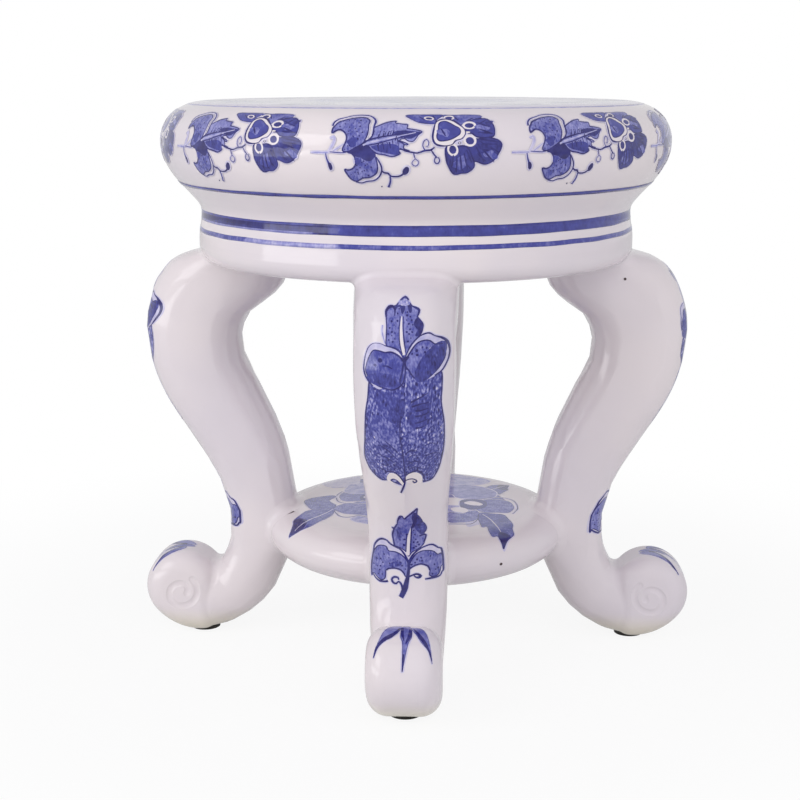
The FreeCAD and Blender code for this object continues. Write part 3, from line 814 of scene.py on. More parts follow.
RIM_SPRAY = (
    stroke(0.35, (0.35, 0.69, 0.76, 0.62), (-41.1, 32.5, -37.6, 32.5, -33.7, 32.5, -32.2, 32.0)),
    stroke(0.22, (0.62, 0.9, 0.83, 0.69, 0.35), (-33.1, 32.5, -31.6, 30.3, -30.4, 27.6, -30.9, 25.8,
        -32.4, 26.7)),
    stroke(0.8, (0.55, 0.69, 0.97, 1.31), (-34.1, 32.9, -33.7, 35.0, -33.0, 36.8, -32.4, 39.2)),
    wash(1.0, 0.0, 0.0, (-33.2, 36.8, -32.3, 36.6, -31.4, 38.0, -31.5, 39.7, -32.4, 40.1, -33.1, 38.9)),
    stroke(0.75, (0.41, 0.48, 0.48, 0.62, 0.69), (-32.2, 32.2, -29.3, 32.4, -26.6, 32.5, -24.1, 31.9,
        -22.0, 31.0)),
    stroke(0.3, (0.48, 0.41, 0.28), (-30.9, 32.0, -28.1, 30.2, -25.7, 28.7)),
    stroke(0.85, (0.9, 0.83, 0.69, 0.55, 0.55, 0.62, 0.69, 0.83, 1.04, 0.9, 0.9, 0.62), (-31.9, 20.9,
        -31.7, 19.3, -29.9, 17.4, -26.3, 16.1, -23.9, 15.2, -20.1, 14.7, -16.1, 15.2, -13.8, 16.8, -13.0,
        18.7, -13.4, 20.7, -13.5, 23.1, -13.9, 25.0)),
    wash(0.5, 0.79, 0.3, (-31.7, 24.2, -31.6, 21.9, -30.5, 20.4, -29.5, 19.0, -26.0, 17.5, -23.5, 16.8,
        -19.8, 16.2, -17.2, 16.6, -15.6, 18.2, -15.9, 20.2, -15.8, 22.3, -16.0, 24.5, -16.8, 26.7, -17.6,
        28.3, -19.3, 29.5, -21.4, 30.6, -23.8, 31.9, -26.2, 32.0, -26.6, 30.8, -25.6, 28.7, -25.0, 26.3,
        -25.8, 24.3, -27.5, 23.0, -29.4, 22.9)),
    stroke(0.9, (0.62, 0.62, 0.69, 0.69, 0.69, 0.76, 0.76, 0.69, 0.55), (-21.7, 45.2, -19.2, 45.8, -16.7,
        45.0, -13.5, 44.5, -11.2, 42.7, -10.0, 40.2, -10.1, 38.0, -11.2, 35.6, -12.2, 34.1)),
    wash(0.52, 0.79, 0.3, (-26.0, 39.6, -24.2, 39.8, -22.3, 39.0, -21.0, 36.9, -21.3, 34.5, -22.6, 32.8,
        -24.4, 32.3, -22.0, 31.2, -19.0, 29.4, -16.0, 28.6, -12.9, 31.8, -12.5, 34.1, -11.8, 36.5, -11.7,
        39.2, -12.5, 41.3, -15.2, 43.0, -18.4, 43.5, -21.2, 45.0, -23.4, 44.1, -25.0, 41.9)),
    wash(0.92, 0.0, 0.0, (-23.8, 31.9, -20.8, 30.3, -17.8, 29.4, -15.0, 30.1, -12.6, 32.1, -12.5, 33.8,
        -14.5, 35.8, -16.9, 35.6, -19.0, 34.5, -21.4, 33.9, -22.4, 32.8)),
    wash(0.42, 0.64, 0.25, (-17.6, 28.9, -16.0, 27.4, -14.3, 25.9, -13.3, 23.4, -13.4, 21.8, -9.9, 19.8,
        -7.2, 18.7, -3.9, 18.2, -4.3, 19.2, -1.3, 19.8, 1.1, 20.1, 0.8, 21.7, 2.0, 22.1, 0.6, 22.0, 3.6,
        22.4, 7.2, 23.4, 5.6, 24.9, 3.6, 27.5, 1.4, 27.5, -0.3, 26.5, -2.2, 27.2, 1.4, 28.8, -0.2, 29.1,
        -1.7, 27.5, -2.9, 27.5, -0.5, 28.8, -0.5, 30.6, 2.1, 31.7, -2.0, 30.9, -3.2, 31.2, -2.0, 32.6,
        -5.2, 33.9, -8.8, 33.2, -11.8, 32.7, -14.1, 31.2, -15.4, 29.8)),
    stroke(0.2, (0.76, 0.69, 0.55, 0.48, 0.41, 0.35, 0.28, 0.28, 0.21), (-17.8, 29.3, -14.8, 28.1, -10.3,
        27.1, -5.9, 26.2, -1.8, 25.4, 2.0, 24.8, -0.3, 24.9, 3.3, 24.3, 6.5, 23.5)),
    stroke(0.95, (0.69, 0.76, 0.62, 0.55, 0.62, 0.41), (-16.9, 27.7, -13.1, 26.5, -8.9, 25.6, -5.1, 25.0,
        -1.5, 24.3, 2.0, 24.5)),
    stroke(0.9, (0.41, 0.55, 0.55, 0.55, 0.35), (-16.6, 29.5, -11.8, 28.6, -7.4, 27.4, -2.9, 26.2, 2.0,
        25.6)),
    *strokes(0.9, (0.48, 0.21),
        (-11.0, 25.4, -10.4, 23.1), (-8.6, 25.1, -8.0, 23.2), (-6.3, 24.7, -5.6, 22.7),
        (-3.9, 24.3, -3.2, 22.9), (-1.5, 24.2, -0.8, 22.7)),
    *strokes(0.9, (0.55, 0.21),
        (-12.4, 29.2, -11.8, 30.9), (-10.0, 28.6, -9.4, 31.5), (-7.6, 28.0, -7.0, 30.6),
        (-5.3, 27.2, -4.6, 31.5), (-3.2, 26.6, -2.6, 30.6)),
    stroke(0.97, (0.62, 0.83, 0.97, 0.76, 0.76, 0.9, 1.24), (-10.0, 39.8, -9.0, 40.8, -7.2, 41.2, -6.1,
        42.4, -3.1, 42.5, -0.9, 41.4, 0.6, 38.9)),
    wash(1.0, 0.0, 0.0, (-0.9, 41.7, -1.1, 39.8, 0.3, 38.2, 1.5, 38.5, 1.6, 40.3, 0.4, 41.7)),
    stroke(0.8, (0.83, 0.9, 1.04), (-6.4, 42.4, -6.5, 45.1, -7.5, 48.0)),
    dots(0.95, 0.39, (-10.4, 47.6)),
    stroke(0.95, (0.48, 0.62, 0.69, 0.62, 0.9, 0.83, 0.55), (-2.1, 30.4, -0.2, 31.5, 2.7, 32.1, 5.2, 32.4,
        8.1, 31.5, 10.7, 31.2, 12.4, 30.1)),
    stroke(0.9, (0.55, 0.55, 0.41), (3.6, 32.3, 3.9, 33.8, 4.3, 34.8)),
    stroke(0.85, (0.35, 0.35, 0.41, 0.48, 0.41, 0.35, 0.35), (4.3, 34.8, 3.0, 36.1, 3.1, 37.2, 4.4, 37.9,
        5.5, 37.1, 5.5, 35.8, 4.3, 34.9)),
    stroke(0.95, (0.55, 0.69, 0.55), (11.0, 31.3, 12.3, 33.2, 13.6, 34.5)),
    stroke(0.9, (0.62, 0.48, 0.62, 0.62, 0.55, 0.48), (12.9, 33.9, 12.3, 35.5, 12.8, 36.6, 13.9, 36.8,
        14.5, 35.5, 13.9, 34.2)),
    stroke(0.85, (0.55, 0.48, 0.41, 0.41, 0.48, 0.35, 0.28), (8.4, 31.3, 7.5, 29.7, 7.8, 27.8, 9.1, 26.8,
        10.0, 28.1, 9.5, 29.7, 8.7, 29.7)),
    wash(0.62, 0.43, 0.15, (0.1, 15.0, 2.9, 14.3, 7.7, 14.3, 12.9, 14.3, 16.6, 14.7, 13.7, 17.7, 12.9,
        19.6, 10.2, 19.7, 5.9, 19.0, 2.6, 17.2)),
    wash(0.55, 0.43, 0.15, (16.6, 14.7, 21.5, 14.7, 26.8, 14.4, 33.5, 14.9, 33.8, 16.4, 30.1, 17.8, 26.0,
        19.4, 22.8, 20.6, 19.7, 18.4, 17.8, 17.2)),
    wash(0.72, 0.71, 0.15, (25.9, 20.6, 27.8, 18.6, 31.6, 17.1, 35.8, 17.1, 38.0, 19.1, 38.8, 22.2, 38.2,
        25.4, 36.4, 26.0, 33.7, 26.2, 30.4, 25.8, 28.5, 24.3, 26.5, 23.9)),
    wash(0.82, 0.71, 0.15, (25.6, 27.6, 28.3, 26.3, 30.6, 26.8, 33.7, 26.3, 37.0, 26.4, 40.0, 27.4, 41.4,
        29.3, 39.9, 32.8, 37.4, 36.0, 34.0, 37.3, 30.6, 36.2, 28.7, 35.6, 27.8, 32.7, 26.5, 30.1)),
    wash(0.8, 0.71, 0.15, (17.1, 30.4, 20.3, 30.1, 24.3, 29.5, 26.5, 30.5, 27.8, 33.3, 29.3, 36.6, 29.1,
        38.9, 26.6, 40.9, 23.9, 41.2, 22.0, 41.7, 20.3, 41.2, 18.5, 38.4, 17.3, 35.2)),
    wash(0.02, 0.0, 0.0, (12.6, 17.0, 12.2, 17.5, 11.4, 17.8, 10.2, 17.7, 9.1, 17.5, 8.3, 16.9, 8.1, 16.3,
        8.4, 15.8, 9.3, 15.5, 10.5, 15.5, 11.6, 15.8, 12.4, 16.4)),
    wash(0.85, 0.0, 0.0, (11.8, 17.0, 11.6, 17.3, 11.0, 17.4, 10.3, 17.4, 9.5, 17.2, 9.0, 16.9, 8.8, 16.5,
        9.1, 16.2, 9.7, 16.0, 10.4, 16.0, 11.2, 16.2, 11.7, 16.6)),
    wash(0.02, 0.0, 0.0, (21.8, 16.3, 21.4, 17.0, 20.4, 17.4, 19.1, 17.6, 17.8, 17.4, 16.9, 17.0, 16.7,
        16.3, 17.1, 15.6, 18.1, 15.1, 19.4, 14.9, 20.7, 15.1, 21.6, 15.6)),
    wash(0.85, 0.0, 0.0, (20.9, 16.4, 20.6, 16.8, 20.0, 17.1, 19.1, 17.2, 18.3, 17.1, 17.7, 16.8, 17.5,
        16.4, 17.8, 16.0, 18.5, 15.7, 19.3, 15.6, 20.2, 15.7, 20.7, 16.0)),
    wash(0.02, 0.0, 0.0, (30.9, 20.6, 30.3, 21.5, 29.1, 22.2, 27.5, 22.4, 26.0, 22.2, 24.9, 21.5, 24.6,
        20.5, 25.2, 19.6, 26.4, 18.8, 28.0, 18.5, 29.6, 18.8, 30.6, 19.6)),
    wash(0.85, 0.0, 0.0, (29.8, 20.7, 29.4, 21.2, 28.6, 21.7, 27.6, 21.8, 26.6, 21.6, 25.9, 21.2, 25.7,
        20.6, 26.0, 20.0, 26.8, 19.6, 27.9, 19.4, 28.9, 19.6, 29.6, 20.0)),
    wash(0.02, 0.0, 0.0, (30.1, 28.3, 29.3, 29.3, 28.0, 29.9, 26.6, 29.8, 25.4, 29.1, 24.7, 27.9, 24.8,
        26.6, 25.6, 25.5, 26.9, 24.9, 28.4, 25.0, 29.6, 25.7, 30.2, 26.9)),
    wash(0.85, 0.0, 0.0, (29.2, 28.0, 28.7, 28.7, 27.9, 29.0, 26.9, 29.0, 26.1, 28.5, 25.7, 27.8, 25.7,
        26.9, 26.2, 26.3, 27.1, 25.9, 28.0, 26.0, 28.8, 26.5, 29.2, 27.2)),
    wash(0.02, 0.0, 0.0, (22.2, 30.4, 22.4, 31.8, 21.9, 33.0, 20.9, 33.7, 19.6, 33.7, 18.5, 32.9, 17.8,
        31.7, 17.7, 30.3, 18.2, 29.1, 19.2, 28.4, 20.4, 28.4, 21.5, 29.1)),
    wash(0.85, 0.0, 0.0, (21.5, 30.7, 21.5, 31.6, 21.2, 32.3, 20.5, 32.8, 19.7, 32.8, 19.0, 32.3, 18.5,
        31.5, 18.5, 30.7, 18.8, 29.9, 19.5, 29.4, 20.3, 29.4, 21.0, 29.9)),
    stroke(0.0, (0.76, 0.62), (25.2, 23.8, 27.7, 23.8)),
    wash(0.95, 0.0, 0.0, (11.2, 26.2, 11.6, 23.1, 13.3, 18.5, 16.5, 16.8, 20.5, 17.3, 23.3, 19.4, 25.5,
        22.1, 26.0, 24.2, 24.4, 26.6, 21.7, 27.5, 20.0, 29.1, 17.1, 29.8, 13.9, 29.7, 12.0, 28.5)),
    wash(0.02, 0.0, 0.0, (12.1, 26.2, 12.5, 23.1, 13.6, 19.0, 16.7, 17.5, 20.1, 18.1, 22.9, 20.2, 25.0,
        22.1, 25.5, 24.2, 24.0, 26.3, 21.1, 27.2, 19.7, 28.8, 16.8, 29.3, 13.9, 28.8, 12.8, 28.1)),
    wash(0.66, 0.57, 0.0, (13.4, 25.5, 14.1, 22.8, 14.7, 19.4, 17.0, 18.3, 19.3, 19.2, 21.2, 20.6, 23.4,
        22.1, 23.5, 24.2, 21.8, 25.6, 19.1, 26.9, 15.9, 27.5, 14.1, 27.2)),
    dots(0.95, 0.36, (-28.6, 21.2, -26.5, 19.8, -22.8, 19.5, -20.5, 19.3, -24.5, 23.4, -22.9, 23.7, -20.7,
        23.5, -18.3, 23.8, -19.6, 25.4, -22.7, 27.5, -24.4, 29.7, -25.6, 31.1)),
    dots(0.95, 0.36, (-23.3, 41.8, -21.6, 40.8, -20.2, 41.5, -20.6, 39.5, -18.5, 40.4, -17.5, 35.9, -16.8,
        37.7, -16.3, 39.6, -16.9, 41.5, -19.2, 38.7, -21.1, 31.9, -19.8, 32.3)),
    dots(0.95, 0.29, (-10.7, 23.4, -9.0, 23.4, -6.5, 23.4, -5.1, 24.3, -3.0, 23.5, -13.6, 29.8, -11.2,
        28.9, -8.4, 28.6, -9.8, 30.3, -8.0, 30.9, -6.7, 28.3)),
    *strokes(0.95, (0.28, 0.76, 0.21),
        (5.9, 15.5, 8.6, 17.7), (12.1, 15.0, 13.3, 17.7), (21.4, 15.6, 23.2, 17.7),
        (30.3, 16.4, 26.5, 18.4), (37.1, 20.7, 31.1, 22.2), (37.8, 24.4, 31.2, 23.9),
        (35.6, 17.8, 31.4, 20.3), (39.2, 29.0, 31.2, 28.9), (38.2, 32.2, 31.5, 30.8),
        (34.2, 36.0, 30.5, 32.7), (36.9, 34.1, 31.8, 32.1), (27.8, 39.2, 23.9, 34.9),
        (24.9, 40.5, 22.3, 35.5), (21.9, 40.8, 20.4, 35.8), (18.8, 38.1, 19.1, 34.8)),
    wash(0.98, 0.0, 0.0, (23.7, 28.4, 23.6, 28.6, 23.3, 28.9, 23.0, 28.9, 22.6, 28.9, 22.3, 28.6, 22.3,
        28.3, 22.4, 28.1, 22.6, 27.9, 23.0, 27.8, 23.4, 27.9, 23.6, 28.1)),
    wash(0.02, 0.0, 0.0, (23.4, 28.4, 23.3, 28.5, 23.2, 28.6, 23.0, 28.7, 22.8, 28.6, 22.6, 28.5, 22.6,
        28.4, 22.6, 28.2, 22.8, 28.1, 23.0, 28.0, 23.2, 28.1, 23.3, 28.2)),
    wash(0.58, 0.0, 0.3, (25.5, 36.7, 25.8, 37.5, 25.5, 38.2, 24.8, 38.9, 23.9, 39.5, 22.7, 39.4, 21.7,
        38.9, 20.6, 38.5, 19.5, 37.8, 19.9, 36.7, 21.0, 36.0, 21.5, 35.5, 21.8, 34.9, 22.6, 34.3, 23.8,
        33.6, 25.3, 33.6, 25.9, 34.8, 25.5, 36.0)),
    wash(0.55, 0.0, 0.3, (39.2, 33.4, 39.5, 34.0, 39.4, 34.8, 38.4, 35.3, 36.9, 35.0, 36.0, 34.4, 35.4,
        34.3, 34.3, 34.3, 33.6, 33.9, 33.1, 33.3, 33.1, 32.6, 33.9, 32.2, 34.9, 32.0, 35.8, 31.6, 36.9,
        31.5, 37.7, 32.0, 37.9, 32.6, 38.5, 32.9)),
    wash(0.5, 0.0, 0.3, (36.9, 21.9, 36.5, 22.4, 35.9, 22.9, 34.8, 23.1, 33.8, 23.2, 32.6, 23.3, 31.8,
        23.0, 31.6, 22.5, 31.2, 22.2, 30.1, 21.8, 29.8, 21.2, 30.5, 20.6, 31.8, 20.3, 33.1, 20.4, 33.9,
        20.9, 34.5, 21.1, 35.9, 21.0, 36.9, 21.3)),
    wash(0.48, 0.0, 0.3, (19.0, 23.8, 18.7, 24.5, 18.5, 25.2, 17.9, 25.8, 16.8, 25.6, 16.1, 25.1, 15.6,
        24.9, 14.9, 24.8, 14.1, 24.4, 13.4, 23.8, 13.3, 22.9, 14.4, 22.5, 15.6, 22.6, 16.2, 22.4, 16.9,
        22.2, 17.7, 22.3, 18.3, 22.7, 18.9, 23.2)),
    *strokes(0.95, (0.35, 0.9, 0.28),
        (20.3, 33.2, 19.7, 38.5), (21.7, 33.5, 21.9, 39.9), (23.1, 33.2, 24.1, 40.1),
        (24.8, 32.5, 26.5, 39.1), (25.9, 31.2, 28.1, 36.4), (30.6, 28.8, 38.0, 36.5),
        (29.8, 29.8, 33.6, 36.5), (31.7, 27.8, 40.0, 32.4), (31.4, 26.7, 40.5, 28.2),
        (30.9, 18.9, 37.2, 21.5), (31.5, 22.2, 36.8, 24.2), (15.3, 22.1, 17.2, 25.5)),
    wash(0.9, 0.0, 0.15, (37.0, 29.9, 36.8, 30.3, 36.4, 30.7, 35.5, 30.9, 34.5, 30.7, 33.9, 30.5, 33.1,
        30.7, 31.9, 30.7, 31.2, 30.3, 31.1, 29.8, 31.5, 29.4, 32.5, 29.2, 33.3, 29.2, 33.8, 28.9, 34.7,
        28.7, 35.4, 29.0, 35.9, 29.3, 36.6, 29.5)),
    wash(0.88, 0.0, 0.15, (38.4, 19.4, 37.9, 19.7, 37.8, 20.0, 37.5, 20.4, 36.9, 20.5, 36.3, 20.5, 35.7,
        20.5, 35.3, 20.2, 35.1, 19.8, 34.9, 19.3, 35.1, 18.8, 35.9, 18.7, 36.5, 18.7, 36.8, 18.4, 37.4,
        18.1, 38.1, 18.1, 38.8, 18.3, 39.0, 18.8)),
    wash(0.86, 0.0, 0.15, (-5.3, 23.8, -1.1, 22.9, 3.9, 23.3, 7.1, 23.8, 4.6, 25.5, 1.8, 26.6, -2.4, 25.5)),
    wash(0.74, 0.0, 0.3, (-14.3, 29.8, -10.8, 29.1, -5.2, 28.7, -2.4, 30.1, -3.1, 33.1, -7.9, 32.5, -12.1,
        31.5)),
    wash(0.7, 0.0, 0.3, (-20.6, 28.0, -20.7, 28.4, -20.6, 28.9, -21.0, 29.5, -21.7, 30.0, -22.8, 30.3,
        -23.7, 29.8, -24.1, 29.0, -24.5, 28.6, -25.1, 28.0, -24.7, 27.4, -24.0, 27.0, -23.5, 26.6, -22.9,
        26.2, -22.0, 26.0, -20.8, 26.0, -19.7, 26.3, -19.7, 27.3)),
    wash(0.68, 0.0, 0.3, (-18.3, 35.7, -18.7, 36.0, -19.1, 36.2, -19.2, 36.8, -19.7, 37.4, -20.5, 37.4,
        -21.1, 37.0, -21.4, 36.5, -21.4, 36.1, -21.3, 35.7, -21.5, 35.3, -21.6, 34.8, -21.0, 34.5, -20.3,
        34.5, -19.6, 34.4, -18.9, 34.4, -18.4, 34.8, -18.3, 35.2)),
    stroke(0.24, (0.62, 0.55, 0.48, 0.41, 0.28), (-16.8, 28.8, -11.5, 27.5, -5.2, 25.9, 1.1, 24.6, 4.6,
        23.8)),
    *strokes(0.95, (0.69, 0.35),
        (-11.5, 26.6, -11.1, 24.6), (-9.4, 26.0, -9.0, 24.0), (-7.4, 25.5, -6.9, 23.4),
        (-5.3, 24.9, -4.8, 22.8), (-11.5, 29.1, -10.9, 31.8), (-9.4, 28.4, -8.8, 31.1),
        (-6.6, 27.9, -6.0, 30.6), (-4.1, 27.3, -3.6, 25.3)),
    dots(0.97, 0.42, (-29.6, 19.4, -27.5, 18.5, -24.9, 18.0, -22.4, 17.4, -19.7, 17.9, -24.3, 21.5, -21.6,
        22.2, -19.6, 21.0, -24.6, 24.6, -22.3, 25.6, -20.1, 26.7, -23.6, 29.5, -20.5, 37.8, -18.3, 36.4,
        -16.1, 37.1, -14.4, 38.5, -20.3, 40.8, -17.4, 40.0, -15.8, 42.2, -18.4, 43.1)),
)

KNEE_LEFT_LOBE = (0.8, 170.6, -1.2, 173.5, -3.9, 174.9, -6.9, 175.5, -9.3, 176.4, -12.1, 176.4, -14.5,
    174.4, -15.8, 170.9, -16.4, 167.1, -16.3, 164.0, -14.9, 160.8)
KNEE_RIGHT_LOBE = (1.2, 170.6, 2.7, 173.9, 4.7, 176.9, 7.4, 179.6, 9.9, 180.7, 11.7, 180.7, 13.7, 179.5,
    17.0, 178.2, 19.1, 176.1, 19.9, 173.0, 19.6, 170.0, 18.3, 167.0, 16.5, 164.6)

